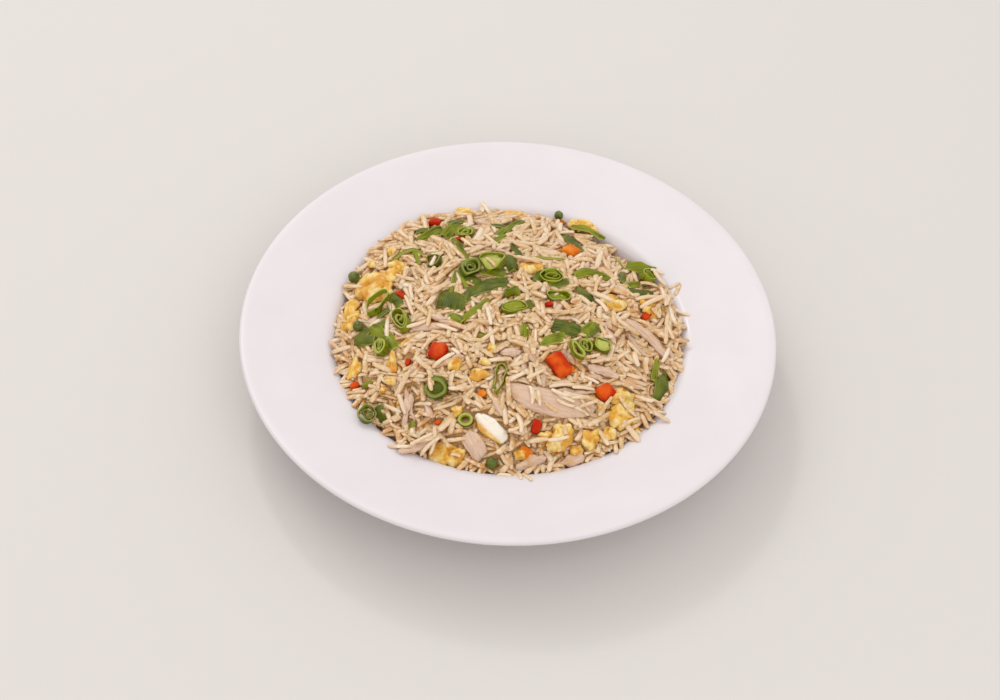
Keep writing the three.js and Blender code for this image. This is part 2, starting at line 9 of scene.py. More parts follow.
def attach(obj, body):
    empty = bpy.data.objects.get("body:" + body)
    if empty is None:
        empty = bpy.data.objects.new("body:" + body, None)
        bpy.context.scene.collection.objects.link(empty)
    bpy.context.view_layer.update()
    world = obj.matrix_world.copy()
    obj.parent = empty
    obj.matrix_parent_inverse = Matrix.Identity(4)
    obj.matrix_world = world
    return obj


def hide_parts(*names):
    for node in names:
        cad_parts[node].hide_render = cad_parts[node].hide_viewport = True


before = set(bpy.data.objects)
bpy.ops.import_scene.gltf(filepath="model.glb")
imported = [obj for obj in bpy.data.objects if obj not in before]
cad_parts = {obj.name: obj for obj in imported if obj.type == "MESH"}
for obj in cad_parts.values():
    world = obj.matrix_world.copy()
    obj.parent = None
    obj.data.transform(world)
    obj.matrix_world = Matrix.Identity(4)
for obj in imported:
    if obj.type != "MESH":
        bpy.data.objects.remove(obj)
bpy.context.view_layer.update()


# Plate: one piece of white porcelain with a clear glaze. A wide rim falls gently to the well, whose wall
# sweeps down to a flat floor on a foot ring. It is a fine lathe of the solid's own profile, in millimetres.

PLATE_RADIUS, PLATE_HEIGHT, CHINA, LIP = 150, 42, 4, 1.8
WELL_RADIUS, SHOULDER = 99, 34.6
FLOOR_RADIUS, FLOOR_HEIGHT, WALL_FOOT = 62, 9, 90
FOOT_RADIUS, FOOT_WIDTH, FOOT_RECESS, FOOT_ROUNDING = 60, 5, 3, 0.6
# How far in and down from the well's edge the wall ends, and how far out and up from it the rim begins
BEND_BELOW, BEND_ABOVE = (2.4, 3.5), (4, 0.6)
# Where the rim sags most, and how high it is there over the shoulder
RIM_SAG = (127, 3.8)
UNDERSIDE_START, UNDERSIDE_END = 74.5, 147
PLATE_SIDES = 256


def bezier(a, b, c, count):
    """Points from a to c along a quadratic curve with b as its corner"""
    t = np.linspace(0, 1, count)[:, None]
    return (1 - t) ** 2 * np.array(a) + 2 * t * (1 - t) * np.array(b) + t ** 2 * np.array(c)


def plate_top_profile():
    """Radius and height along the top face, from the middle out to the lip"""
    wall_top = (WELL_RADIUS - BEND_BELOW[0], SHOULDER - BEND_BELOW[1])
    rim_start = (WELL_RADIUS + BEND_ABOVE[0], SHOULDER + BEND_ABOVE[1])
    flat = [(r, FLOOR_HEIGHT) for r in (1, 20, 40, 55)]
    wall = bezier((FLOOR_RADIUS, FLOOR_HEIGHT), (WALL_FOOT, FLOOR_HEIGHT), wall_top, 18)
    bend = bezier(wall_top, (WELL_RADIUS, SHOULDER), rim_start, 8)[1:]
    rim = bezier(rim_start, (RIM_SAG[0], SHOULDER + RIM_SAG[1]), (PLATE_RADIUS - LIP, PLATE_HEIGHT), 14)[1:]
    return np.vstack([flat, wall, bend, rim])


def plate_profile():
    """The whole outline: top face, rounded lip, underside, foot ring and recess"""
    top = plate_top_profile()
    along = np.gradient(top, axis=0)
    along /= np.linalg.norm(along, axis=1)[:, None]
    below = top + CHINA * np.stack([along[:, 1], -along[:, 0]], axis=1)
    below = below[(below[:, 0] > UNDERSIDE_START) & (below[:, 0] < UNDERSIDE_END)][::-1]
    turn = np.radians(np.linspace(80, -70, 9))
    lip_middle = np.array([PLATE_RADIUS - LIP, PLATE_HEIGHT - LIP])
    lip = lip_middle + LIP * np.stack([np.cos(turn), np.sin(turn)], axis=1)
    outer, inner, curve = FOOT_RADIUS, FOOT_RADIUS - FOOT_WIDTH, FOOT_ROUNDING
    ring = [(outer + 1.4, FOOT_RECESS + 1.1), (outer + curve / 2, curve), (outer - curve, 0),
            (inner + curve, 0), (inner - curve / 2, curve), (inner - 2 * curve, FOOT_RECESS),
            (1, FOOT_RECESS)]
    return np.vstack([top, lip, below, ring])


def swept(sections):
    """Points and faces of a closed solid through loops that all have the same count of points"""
    sections = np.asarray(sections, float)
    rows, count = sections.shape[:2]
    faces = [tuple(range(count - 1, -1, -1)), tuple(range((rows - 1) * count, rows * count))]
    for start in range(0, (rows - 1) * count, count):
        for i in range(count):
            j = (i + 1) % count
            faces.append((start + i, start + j, start + count + j, start + count + i))
    return sections.reshape(-1, 3), faces


def lathe(profile, sides):
    """Points and faces of a profile turned about Z, closed in the middle where it begins and ends"""
    turn = np.linspace(0, 2 * math.pi, sides, endpoint=False)
    loops = [np.stack([r * np.cos(turn), r * np.sin(turn), np.full(sides, z)], 1) for r, z in profile]
    points, faces = swept(loops)
    return points, [face[::-1] for face in faces]


def srgb(red, green, blue):
    """A colour as seen in the photo, from 0 to 255, as the linear one that a shader takes"""
    values = [c / 255 for c in (red, green, blue)]
    return [c / 12.92 if c < 0.04045 else ((c + 0.055) / 1.055) ** 2.4 for c in values] + [1]


def wire(tree, kind, inputs, **settings):
    """Adds a shader node. Each input is a number, a colour or the output of another node"""
    made = tree.nodes.new("ShaderNode" + kind)
    for name, value in settings.items():
        setattr(made, name, value)
    for key, value in inputs.items():
        if isinstance(value, bpy.types.NodeSocket):
            tree.links.new(value, made.inputs[key])
        else:
            made.inputs[key].default_value = value
    return made


def blend(tree, share, a, b):
    """The output of a node that mixes colour a towards b"""
    return wire(tree, "Mix", {0: share, 6: a, 7: b}, data_type="RGBA").outputs[2]


def speckle(tree, scale, detail):
    """Plain noise from 0 to 1, finer for a larger scale"""
    return wire(tree, "TexNoise", {"Scale": scale, "Detail": detail}).outputs["Fac"]


def new_material(name, roughness, coat=(0, 0.03), flesh=(0, 0.05, (1, 0.2, 0.1)), specular=0.5):
    """A material, its node tree and its shader. Coat is how strong and how rough it is. Flesh is how light
    sinks in: how strongly, how deep in metres, and how far in each colour"""
    material = bpy.data.materials.new(name)
    material.use_nodes = True
    shader = material.node_tree.nodes["Principled BSDF"]
    sockets = ("Roughness", "Coat Weight", "Coat Roughness", "Subsurface Weight", "Subsurface Scale",
               "Subsurface Radius", "Specular IOR Level")
    for socket, value in zip(sockets, (roughness, *coat, *flesh, specular)):
        shader.inputs[socket].default_value = value
    return material, material.node_tree, shader


def paint(tree, shader, colour, height=None, strength=0.0, distance=0.0):
    """Joins a colour to a shader, and a height that stands out by up to a distance in metres"""
    tree.links.new(colour, shader.inputs["Base Color"])
    if height is not None:
        bump = wire(tree, "Bump", {"Strength": strength, "Distance": distance, "Height": height})
        tree.links.new(bump.outputs["Normal"], shader.inputs["Normal"])


def add_piece(name, points, faces, material, slot, *replaced):
    """Puts a smooth mesh, given in millimetres, in the scene as a piece that stands for the solids named"""
    mesh = bpy.data.meshes.new(name)
    mesh.from_pydata((np.asarray(points) / 1000).tolist(), [], faces)
    mesh.shade_smooth()
    mesh.materials.append(material)
    piece = bpy.data.objects.new(name, mesh)
    bpy.context.scene.collection.objects.link(piece)
    if replaced:
        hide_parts(*replaced)
    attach(piece, "root")
    return mesh


glaze, tree, shader = new_material("white_glaze", 0.38, coat=(0.12, 0.12))
# Painted reflected light: the faint pink in these whites stands for warm light bounced onto the plate, whose
# porcelain is plain white
white = blend(tree, speckle(tree, 8, 2), srgb(218, 211, 214), srgb(226, 220, 223))
paint(tree, shader, white, speckle(tree, 25, 1), 0.04, 0.002)
add_piece("plate_glazed", *lathe(plate_profile(), PLATE_SIDES), glaze, "plate", "plate")


# Heap: cooked long-grain rice turned out into the well, a low dome that climbs over the well's edge at the
# back left. Its form is the solid's. A height map of the dish takes in every piece that is laid on it.

HEAP_RADIUS, HEAP_EDGE, HEAP_TOP, HEAP_FULLNESS = 95, 29, 55, 2.6
BROAD_SWELL, FINE_SWELL = 1.3, 0.9
# Lobes of the edge: direction and spread in degrees, how far out, how far up
HEAP_LOBES = [
    (12, 18, 2, 4), (47, 22, -5, -1), (92, 18, 0.5, 2), (128, 30, 2.5, 8), (172, 14, -1.5, 0),
    (199, 20, 1, 3), (305, 16, 1.5, 2), (335, 22, 1.5, 1)]
GRAIN_LAYER = 1.9
MAP_STEP, MAP_HALF = 0.5, 125
# Higher than anything on the dish: the level of a map where nothing lies
NOTHING = 1e3


def lobes(angle, column):
    """What the lobes add to the edge at an angle: column 2 is how far out, column 3 how far up"""
    total = 0
    for lobe in HEAP_LOBES:
        away = (angle - math.radians(lobe[0]) + math.pi) % (2 * math.pi) - math.pi
        total = total + lobe[column] * np.exp(-(away / math.radians(lobe[1])) ** 2)
    return total


def heap_radius(angle):
    return HEAP_RADIUS + lobes(angle, 2)


def heap_height(x, y):
    """The level of the solid heap's skin"""
    angle = np.arctan2(y, x)
    reach = np.minimum(1, np.hypot(x, y) / heap_radius(angle))
    dome = HEAP_TOP - (HEAP_TOP - HEAP_EDGE - lobes(angle, 3)) * reach ** HEAP_FULLNESS
    broad = BROAD_SWELL * np.sin(x / 15 + 0.7) * np.cos(y / 18 - 0.5)
    fine = FINE_SWELL * np.sin(x / 8.5 - y / 11 + 1.9)
    return dome + (broad + fine) * (1 - reach ** 4)


def plate_height(x, y):
    top = plate_top_profile()
    return np.interp(np.hypot(x, y), top[:, 0], top[:, 1])


def waves(x, y, size, count=7):
    """Smooth random noise over the plane, about -1 to 1, of hills about a size apart"""
    total = 0
    for turn, phase in rng.uniform(0, 2 * math.pi, (count, 2)):
        length = size * rng.uniform(0.7, 1.4)
        total = total + np.sin((x * math.cos(turn) + y * math.sin(turn)) * 2 * math.pi / length + phase)
    return total / math.sqrt(count)


rng = np.random.default_rng(11)
axis = np.arange(-MAP_HALF, MAP_HALF + MAP_STEP, MAP_STEP)
map_x, map_y = np.meshgrid(axis, axis, indexing="ij")
in_heap = np.hypot(map_x, map_y) / heap_radius(np.arctan2(map_y, map_x))
target = heap_height(map_x, map_y) + GRAIN_LAYER
target = target + 0.7 * waves(map_x, map_y, 16) + 0.4 * waves(map_x, map_y, 7)
lowest = np.full_like(target, NOTHING)
highest = np.full_like(target, -NOTHING)
soft_cover = np.zeros_like(target)


def cell(x):
    """The row or column of the height map nearest to a place"""
    return np.clip(np.rint((np.asarray(x) + MAP_HALF) / MAP_STEP).astype(int), 0, len(axis) - 1)


def spread_over(heights, reach, pick):
    """Each cell's highest or lowest neighbour within a reach in cells"""
    out = heights.copy()
    for dx in range(-reach, reach + 1):
        for dy in range(-reach, reach + 1):
            if dx * dx + dy * dy <= reach * reach:
                out = pick(out, np.roll(heights, (dx, dy), (0, 1)))
    return out


# Egg: soft scrambled curds, torn apart in the pan, yellow with golden-brown patches, painted darker orange in
# the hollows as shade and paler on the tops as light. Each is the solid's form, rounded, then lumped and
# pitted. The smaller curds between them are cushions of the same make.

EGG_NODES = [
    "egg_sheet_left", "egg_back_left", "egg_slab_back_right", "egg_centre_back", "egg_inner_right",
    "egg_right", "egg_white_front", "egg_front_left", "egg_curl_front", "egg_curl_right"]
WHITE_EGG = "egg_white_front"
ROUNDING = 3
EGG_SWELL = 0.8
# Relief of the curds and of the small ones: size of the folds, their height, depth of the pits
CURD_RELIEF, BIT_RELIEF = (5.2, 1.7, 2.2), (3.2, 1.1, 1.6)
# Small curds: x, y, heading, length, width, thickness, and how much each of the last three swells
EGG_BITS = [
    (-66, 33, 40, 11, 9, 3), (-87, 6, 80, 9, 7, 3), (0, 94, 0, 11, 6, 3), (-28, -39, 60, 9, 5, 2.5),
    (-15, -45, 20, 10, 6, 2.5), (-84, -32, 70, 11, 7, 3), (-63, -33, -87, 12, 4, 2), (65, -50, 47, 11, 7, 3),
    (35, -59, 0, 10, 5, 2), (-26, -65, 0, 6, 5, 2), (47, -75, 62, 11, 8, 3.5), (63, -49, 18, 12, 8, 3.5),
    (67, -53, 67, 7, 6, 3), (71, -63, -57, 9, 5, 2.5), (56, -71, 49, 10, 6, 3), (30, -80, 92, 7, 5, 3),
    (39, -82, 26, 7, 5, 3), (22, -77, 47, 7, 5, 3), (10, -86, 20, 8, 5, 3), (-89, 2, 63, 10, 7, 3.5),
    (-89, 15, 79, 12, 8, 4), (-64, 39, -36, 13, 6, 3)]
BIT_SWELL = (1.2, 1.25, 1.15)


def rounded(node, crease_over=180, crease=0):
    """The points, normals and faces of a CAD solid with its facets joined and rounded, in millimetres"""
    work = bmesh.new()
    work.from_mesh(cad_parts[node].data)
    bmesh.ops.remove_doubles(work, verts=work.verts, dist=2e-5)
    bmesh.ops.join_triangles(work, faces=work.faces, angle_face_threshold=0.7, angle_shape_threshold=1.4)
    hard = work.edges.layers.float.new("crease_edge")
    for edge in work.edges:
        if edge.calc_face_angle(0) > math.radians(crease_over):
            edge[hard] = crease
    mesh = bpy.data.meshes.new("rounding")
    work.to_mesh(mesh)
    work.free()
    piece = bpy.data.objects.new("rounding", mesh)
    bpy.context.scene.collection.objects.link(piece)
    piece.modifiers.new("round", "SUBSURF").levels = ROUNDING
    view = bpy.context.evaluated_depsgraph_get()
    smooth = piece.evaluated_get(view).to_mesh()
    points = np.array([v.co for v in smooth.vertices]) * 1000
    normals = np.array([v.normal for v in smooth.vertices])
    faces = [tuple(face.vertices) for face in smooth.polygons]
    bpy.data.objects.remove(piece)
    bpy.data.meshes.remove(mesh)
    return points, normals, faces


def relief(points, size, offset=0.0):
    """Smooth 3-D noise at each point, about -1 to 1"""
    return np.array([noise.noise((Vector(p) + Vector((offset, 0, 0))) / size) for p in points])


def mark_cover(points, soft):
    """Enters a topping in the maps of what lies on the heap"""
    i, j = cell(points[:, 0]), cell(points[:, 1])
    np.minimum.at(lowest, (i, j), points[:, 2])
    np.maximum.at(highest, (i, j), points[:, 2])
    soft_cover[i, j] = soft


def heap_frame(x, y, yaw, lift, tilt=0.0):
    """The matrix that lays a piece flat on the grains, heading along yaw"""
    step = 4
    slope_x = (heap_height(x + step, y) - heap_height(x - step, y)) / (2 * step)
    slope_y = (heap_height(x, y + step) - heap_height(x, y - step)) / (2 * step)
    upright = Vector((-slope_x, -slope_y, 1)).normalized()
    lean = Vector((0, 0, 1)).rotation_difference(upright).to_matrix().to_4x4()
    turn = Matrix.Rotation(math.radians(yaw), 4, "Z") @ Matrix.Rotation(math.radians(tilt), 4, "X")
    height = float(heap_height(x, y)) + GRAIN_LAYER + lift
    return np.array(Matrix.Translation((x, y, height)) @ lean @ turn)


def moved(points, matrix):
    return points @ matrix[:3, :3].T + matrix[:3, 3]


def joined(parts):
    """Several (points, faces) as one"""
    points, faces, start = [], [], 0
    for some_points, some_faces in parts:
        points.append(some_points)
        faces += [tuple(start + i for i in face) for face in some_faces]
        start += len(some_points)
    return np.vstack(points), faces


def lumps(points, size, height, pits, offset):
    """How far egg's relief stands out at each point: folds of one size, smaller lumps, and pits"""
    folds = relief(points, size, offset) * height
    small = relief(points, size * 0.36, offset + 9) * height * 0.45
    fine = relief(points, size * 0.17, offset + 17) * height * 0.2
    dents = np.clip(relief(points, size * 0.5, offset + 31) - 0.2, 0, 1) * pits
    return folds + small + fine - dents


def lump(points, normals, *form):
    return points + normals * lumps(points, *form)[:, None]


def store(mesh, name, values):
    """Stores one number, or three, at each point, for the material to read"""
    values = np.asarray(values, np.float32)
    kind, key = ("FLOAT", "value") if values.ndim == 1 else ("FLOAT_VECTOR", "vector")
    mesh.attributes.new(name, kind, "POINT").data.foreach_set(key, values.ravel())


def cushion(length, width, thickness):
    """A lumpy low cushion: points, outward normals and faces"""
    turn = np.linspace(0, 2 * math.pi, 22, endpoint=False)
    ragged = 1 + 0.14 * np.sin(3 * turn + rng.uniform(0, 6)) + 0.1 * np.sin(5 * turn + rng.uniform(0, 6))
    rows = []
    for rise in np.radians([-88, -60, -30, -8, 12, 32, 52, 70, 88]):
        out = math.cos(rise) * ragged
        high = math.sin(rise) * (0.5 if rise < 0 else 1) * thickness * 0.7
        x, y = out * length / 2 * np.cos(turn), out * width / 2 * np.sin(turn)
        rows.append(np.stack([x, y, 0 * turn + high], 1))
    points, faces = swept(rows)
    normals = points / np.array([length, width, thickness]) ** 2
    return points, normals / np.linalg.norm(normals, axis=1)[:, None], faces


def new_group(name, inputs, outputs):
    """A node group with these sockets for numbers, and the sockets inside it that they lead to"""
    group = bpy.data.node_groups.new(name, "ShaderNodeTree")
    for socket, start in inputs.items():
        made = group.interface.new_socket(socket, in_out="INPUT", socket_type="NodeSocketFloat")
        made.default_value = start
    for socket in outputs:
        group.interface.new_socket(socket, in_out="OUTPUT", socket_type="NodeSocketFloat")
    given, result = group.nodes.new("NodeGroupInput"), group.nodes.new("NodeGroupOutput")
    return group, given.outputs, result.inputs


def calc(tree, operation, a, b, **settings):
    """The output of a node that works out one number from two"""
    return wire(tree, "Math", {0: a, 1: b}, operation=operation, **settings).outputs[0]


def ramp(tree, value, low, high, kind="SMOOTHSTEP"):
    """A value rescaled, to run from 0 at low to 1 at high"""
    inputs = {"Value": value, "From Min": low, "From Max": high}
    return wire(tree, "MapRange", inputs, interpolation_type=kind).outputs["Result"]


def stored(tree, name):
    """The outputs of a node that reads what is stored at each point"""
    return wire(tree, "Attribute", {}, attribute_type="GEOMETRY", attribute_name=name).outputs


starts = {"Size": 200.0, "Share": 0.5, "Softness": 0.1, "Seed": 0.0}
group, given, result = new_group("patches", starts, ["Mask"])
place = wire(group, "TexCoord", {})
shifted = wire(group, "VectorMath", {0: place.outputs["Object"], 1: given["Seed"]}, operation="ADD")
spots = wire(group, "TexNoise", {"Vector": shifted.outputs[0], "Scale": given["Size"], "Detail": 3})
low = calc(group, "SUBTRACT", given["Share"], given["Softness"])
high = calc(group, "ADD", given["Share"], given["Softness"])
group.links.new(ramp(group, spots.outputs["Fac"], low, high), result["Mask"])


def patches(tree, size, share, softness, seed):
    """The mask of the patches group: 1 in patches, 0 between them. Size is how many there are per metre"""
    inputs = {"Size": size, "Share": share, "Softness": softness, "Seed": seed}
    return wire(tree, "Group", inputs, node_tree=bpy.data.node_groups["patches"]).outputs["Mask"]


curd, tree, shader = new_material("egg_curd", 0.45, (0.05, 0.25), (0.4, 0.0012, (0.9, 0.9, 0.6)), 0.25)
# Painted shade and light: the tint follows the relief, dark orange in the hollows, yellow between, pale on
# the tops
tint_and_shade = stored(tree, "tint_and_shade")["Fac"]
yellow = blend(tree, ramp(tree, tint_and_shade, 0.1, 0.5, "LINEAR"), srgb(214, 144, 40), srgb(242, 196, 90))
yellow = blend(tree, ramp(tree, tint_and_shade, 0.45, 0.85, "LINEAR"), yellow, srgb(250, 228, 168))
flecked = blend(tree, patches(tree, 100, 0.6, 0.08, 0.7), yellow, srgb(228, 164, 66))
paint(tree, shader, flecked, speckle(tree, 520, 4), 0.45, 0.0009)
for k, node in enumerate(EGG_NODES):
    if node != WHITE_EGG:
        points, normals, faces = rounded(node)
        # The relief also sets the tint: painted shade in the hollows, painted light on the tops
        rise = lumps(points, *CURD_RELIEF, 13.0 * k)
        points = points + normals * (EGG_SWELL + rise)[:, None]
        mark_cover(points, 1)
        store(add_piece(node + "_curd", points, faces, curd, "egg", node), "tint_and_shade", 0.5 + rise / 3)
bits, tints = [], []
for k, (x, y, yaw, *size) in enumerate(EGG_BITS):
    points, normals, faces = cushion(*np.multiply(size, BIT_SWELL))
    # The relief also sets the tint: painted shade in the hollows, painted light on the tops
    rise = lumps(points, *BIT_RELIEF, 7.0 * k)
    points = moved(points + normals * rise[:, None], heap_frame(x, y, yaw, 0.1))
    mark_cover(points, 1)
    bits.append((points, faces))
    tints.append(0.5 + rise / 2)
store(add_piece("egg_bits", *joined(bits), curd, "egg"), "tint_and_shade", np.concatenate(tints))


# Chicken: cooked breast, sliced and torn along its fibres, pale, a little darker between the ridges. The
# slices are the solids, rounded and ridged along their length. The smaller strands between them are swept.

CHICKEN_NODES = [
    "chicken_slab", "chicken_strip_right", "chicken_chunk_front", "chicken_shred_left", "chicken_flake_front"]
# Height of the ridges on slices and strands, and relief of the strands as for egg
SLICE_RIDGES, STRAND_RIDGES, STRAND_RELIEF = 0.5, 0.35, (5, 1.1, 1.4)
# Strands: x, y, heading, length, width, thickness, sideways bend
CHICKEN_BITS = [
    (30, -53, 16, 20, 3.2, 2.2, 1.5), (40, -50, 8, 22, 2.8, 2.0, -1.5), (-55, -61, -96, 24, 4.5, 3, 1.5),
    (-50, -60, -84, 19, 3, 2.5, -1.5), (52, -36, -10, 19, 6, 3, 1), (15, -90, 25, 18, 6, 4, 1),
    (37, -86, 24, 15, 6, 4, -1), (-17, 76, -29, 16, 5, 3, 1.5), (2, -30, 10, 13, 5, 3, 1),
    (-32, -39, 24, 19, 4, 3, 2), (72, -12, -50, 18, 3.5, 3, -2), (84, -10, -62, 20, 3.5, 3, 2)]


def long_axes(points):
    """The middle of some points and their long, cross and short directions, as rows"""
    middle = points.mean(axis=0)
    directions = np.linalg.eigh(np.cov((points - middle).T))[1]
    return middle, directions.T[::-1]


def fibres(points, middle, axes, cut=0.0):
    """Where each point is along and across the fibres, and how much it is cut face"""
    return np.column_stack([(points - middle) @ axes[:2].T, np.full(len(points), cut)])


def strand(length, width, thickness, bend):
    """A torn strand that lies along X: points, normals and faces"""
    rows, normals = [], []
    turn = np.linspace(0, 2 * math.pi, 14, endpoint=False)
    ragged = 1 + 0.1 * np.sin(3 * turn + rng.uniform(0, 6)) + 0.08 * np.sin(5 * turn + rng.uniform(0, 6))
    for t in np.linspace(-1, 1, 26):
        size = max(0.06, 1 - abs(t) ** 3.2) * (1 + 0.1 * math.sin(5 * t + ragged[0] * 9))
        side, up = np.cos(turn) * ragged, np.sin(turn) * ragged
        middle = np.array([t * length / 2, bend * (1 - t * t), 0])
        rows.append(middle + np.stack([0 * turn, side * size * width / 2, up * size * thickness / 2], 1))
        normals.append(np.stack([0 * turn + 0.3 * t ** 5, side, up], 1))
    points, faces = swept(rows)
    normals = np.vstack(normals)
    return points, normals / np.linalg.norm(normals, axis=1)[:, None], faces


def ridged(points, normals, along, across, height, seed):
    """Ridges along the fibres, coarse and fine, added to some points"""
    place = np.column_stack([along / 9, across / 1.1, np.full_like(along, seed)])
    coarse = np.column_stack([along / 14, across / 3, np.full_like(along, seed + 5)])
    fine = np.array([noise.noise(Vector(p)) + 0.8 * noise.noise(Vector(q)) for p, q in zip(place, coarse)])
    return points + normals * (fine * height)[:, None]


def torn_strand(k, length, width, thickness, bend, ridges, form):
    """A strand with its ridges and lumps: points, faces and what to store as its fibres"""
    points, normals, faces = strand(length, width, thickness, bend)
    points = ridged(points, normals, points[:, 0], points[:, 1] + points[:, 2], ridges, 3.0 * k)
    points = lump(points, normals, *form, 2.0 * k)
    return points, faces, np.column_stack([points[:, :2] + 20 * k, np.zeros(len(points))])


starts = {"Length": 0.2, "Fineness": 2.0, "Contrast": 2.0}
group, given, result = new_group("streaks", starts, ["Streak", "Cut"])
parts = wire(group, "SeparateXYZ", {0: stored(group, "fibre")["Vector"]}).outputs
along = calc(group, "MULTIPLY", parts["X"], given["Length"])
across = calc(group, "MULTIPLY", parts["Y"], given["Fineness"])
place = wire(group, "CombineXYZ", {"X": along, "Y": across})
lines = wire(group, "TexNoise", {"Vector": place.outputs[0], "Scale": 1, "Detail": 2})
centred = calc(group, "SUBTRACT", lines.outputs["Fac"], 0.5)
sharper = calc(group, "MULTIPLY", centred, given["Contrast"])
group.links.new(calc(group, "ADD", sharper, 0.5, use_clamp=True), result["Streak"])
group.links.new(parts["Z"], result["Cut"])


def streaks(tree, length, fineness, contrast):
    """The outputs of the streaks group: Streak, lines along the fibres, and Cut, how much it is cut face"""
    inputs = {"Length": length, "Fineness": fineness, "Contrast": contrast}
    return wire(tree, "Group", inputs, node_tree=bpy.data.node_groups["streaks"]).outputs


meat, tree, shader = new_material("chicken_meat", 0.45, (0.1, 0.3), (0.3, 0.001, (1, 0.9, 0.9)))
streak = streaks(tree, 0.12, 0.8, 2.2)["Streak"]
pale = blend(tree, streak, srgb(204, 170, 144), srgb(226, 198, 172))
stained = blend(tree, patches(tree, 120, 0.6, 0.1, 0.3), pale, srgb(210, 164, 114))
paint(tree, shader, stained, streak, 0.5, 0.0006)
for k, node in enumerate(CHICKEN_NODES):
    points, normals, faces = rounded(node)
    middle, axes = long_axes(points)
    local = (points - middle) @ axes.T
    points = ridged(points, normals, local[:, 0], local[:, 1], SLICE_RIDGES, 11.0 * k)
    mark_cover(points, 1)
    mesh = add_piece(node + "_meat", points, faces, meat, "chicken", node)
    store(mesh, "fibre", fibres(points, middle, axes))
bits, fibre = [], []
for k, (x, y, yaw, *form) in enumerate(CHICKEN_BITS):
    flat, faces, lines = torn_strand(k, *form, STRAND_RIDGES, STRAND_RELIEF)
    bits.append((moved(flat, heap_frame(x, y, yaw, 0.3)), faces))
    mark_cover(bits[-1][0], 1)
    fibre.append(lines)
store(add_piece("chicken_bits", *joined(bits), meat, "chicken"), "fibre", np.vstack(fibre))


# Egg white: a lobe of firm white that set apart from the yolk, yellow-brown along its lower edge. The solid,
# rounded and lightly folded, coloured across its width.

LOBE_RELIEF = (6.5, 0.9, 0.8)
lobe, tree, shader = new_material("egg_white", 0.38, (0.15, 0.25), (0.25, 0.002, (1, 0.8, 0.6)))
across = wire(tree, "SeparateXYZ", {0: stored(tree, "fibre")["Vector"]}).outputs["Y"]
yolk = blend(tree, patches(tree, 200, 0.5, 0.15, 0.6), srgb(226, 160, 62), srgb(246, 212, 122))
paint(tree, shader, blend(tree, ramp(tree, across, -3.2, -0.8), yolk, srgb(240, 230, 213)))
points, normals, faces = rounded(WHITE_EGG)
points = lump(points + EGG_SWELL * normals, normals, *LOBE_RELIEF, 3.0)
middle, axes = long_axes(points)
# Across runs from the yolk-stained edge at the front left to the back right
if axes[1] @ (1, 1, 0) < 0:
    axes = -axes
mark_cover(points, 0)
mesh = add_piece(WHITE_EGG + "_lobe", points, faces, lobe, "egg", WHITE_EGG)
store(mesh, "fibre", fibres(points, middle, axes))


# Pepper: red and orange sweet pepper, diced. A thick wall of wet flesh with a smooth skin on its bowed side.
# The dice are the solids with softened edges, and the slivers between them are small bowed blocks.

PEPPER_NODES = ["pepper_back_right", "pepper_left", "pepper_centre", "pepper_right"]
ORANGE_PEPPER = "pepper_back_right"
PEPPER_SWELL = 0.4
# Slivers: x, y, heading, length, width, thickness, and 1 for orange
PEPPER_BITS = [
    (-45, 79, -10, 7, 5.5, 3, 0), (77, 11, 53, 8, 4, 2.5, 0), (-83, -42, 30, 5, 4, 2.5, 0),
    (-54, -34, 70, 4, 3, 2, 0), (17, -72, 80, 8, 5, 3, 0), (-36, -70, 20, 3.5, 2.5, 2, 0),
    (-30, 58, 10, 4, 2.5, 2, 0), (22, 5, 20, 5, 2.5, 2, 0), (-61, 15, -47, 8, 3, 2, 0),
    (12, -85, -30, 8, 5, 3, 1), (-13, -56, 40, 5, 4, 2, 1), (28, 93, 15, 9, 4, 2, 1),
    (35, -38, 0, 4, 4, 2, 1)]


def pepper_look(name, skin, flesh):
    look, tree, shader = new_material(name, 0.5, (0.03, 0.3), (0.1, 0.0015, (1, 0.25, 0.1)), 0.08)
    paint(tree, shader, blend(tree, patches(tree, 130, 0.55, 0.2, 0.4), skin, flesh))
    return look


def block(length, width, thickness):
    """A bowed block with soft edges along X"""
    turn = np.linspace(0, 2 * math.pi, 20, endpoint=False)
    square = 1 / (np.abs(np.cos(turn)) ** 4 + np.abs(np.sin(turn)) ** 4) ** 0.25
    heights = (-0.5, -0.5, -0.42, -0.1, 0.25, 0.44, 0.5, 0.52)
    sizes = (0.5, 0.82, 0.94, 1, 1, 0.93, 0.8, 0.45)
    rows = []
    for high, size in zip(heights, sizes):
        x, y = size * square * np.cos(turn) * length / 2, size * square * np.sin(turn) * width / 2
        rows.append(np.stack([x, y, high * thickness + 0.1 * length * (1 - (2 * x / length) ** 2)], 1))
    return swept(rows)


red = pepper_look("pepper_red", srgb(184, 36, 4), srgb(220, 92, 20))
orange = pepper_look("pepper_orange", srgb(216, 106, 14), srgb(232, 148, 50))
for k, node in enumerate(PEPPER_NODES):
    points, normals, faces = rounded(node, 22, 0.9)
    points = points + normals * (relief(points, 3.5, 5.0 * k) * 0.15 + PEPPER_SWELL)[:, None]
    mark_cover(points, 0)
    add_piece(node + "_flesh", points, faces, orange if node == ORANGE_PEPPER else red, "pepper", node)
for name, look, kind in (("pepper_bits", red, 0), ("pepper_orange_bits", orange, 1)):
    bits = []
    for x, y, yaw, length, width, thickness, hue in PEPPER_BITS:
        if hue == kind:
            points, faces = block(length, width, thickness)
            bits.append((moved(points, heap_frame(x, y, yaw, -0.2)), faces))
            mark_cover(bits[-1][0], 0)
    add_piece(name, *joined(bits), look, "pepper")


# Peas: cooked green peas with a thin skin that has shrunk a little on the soft inside. Each is the solid,
# rounded, with slight dimples.

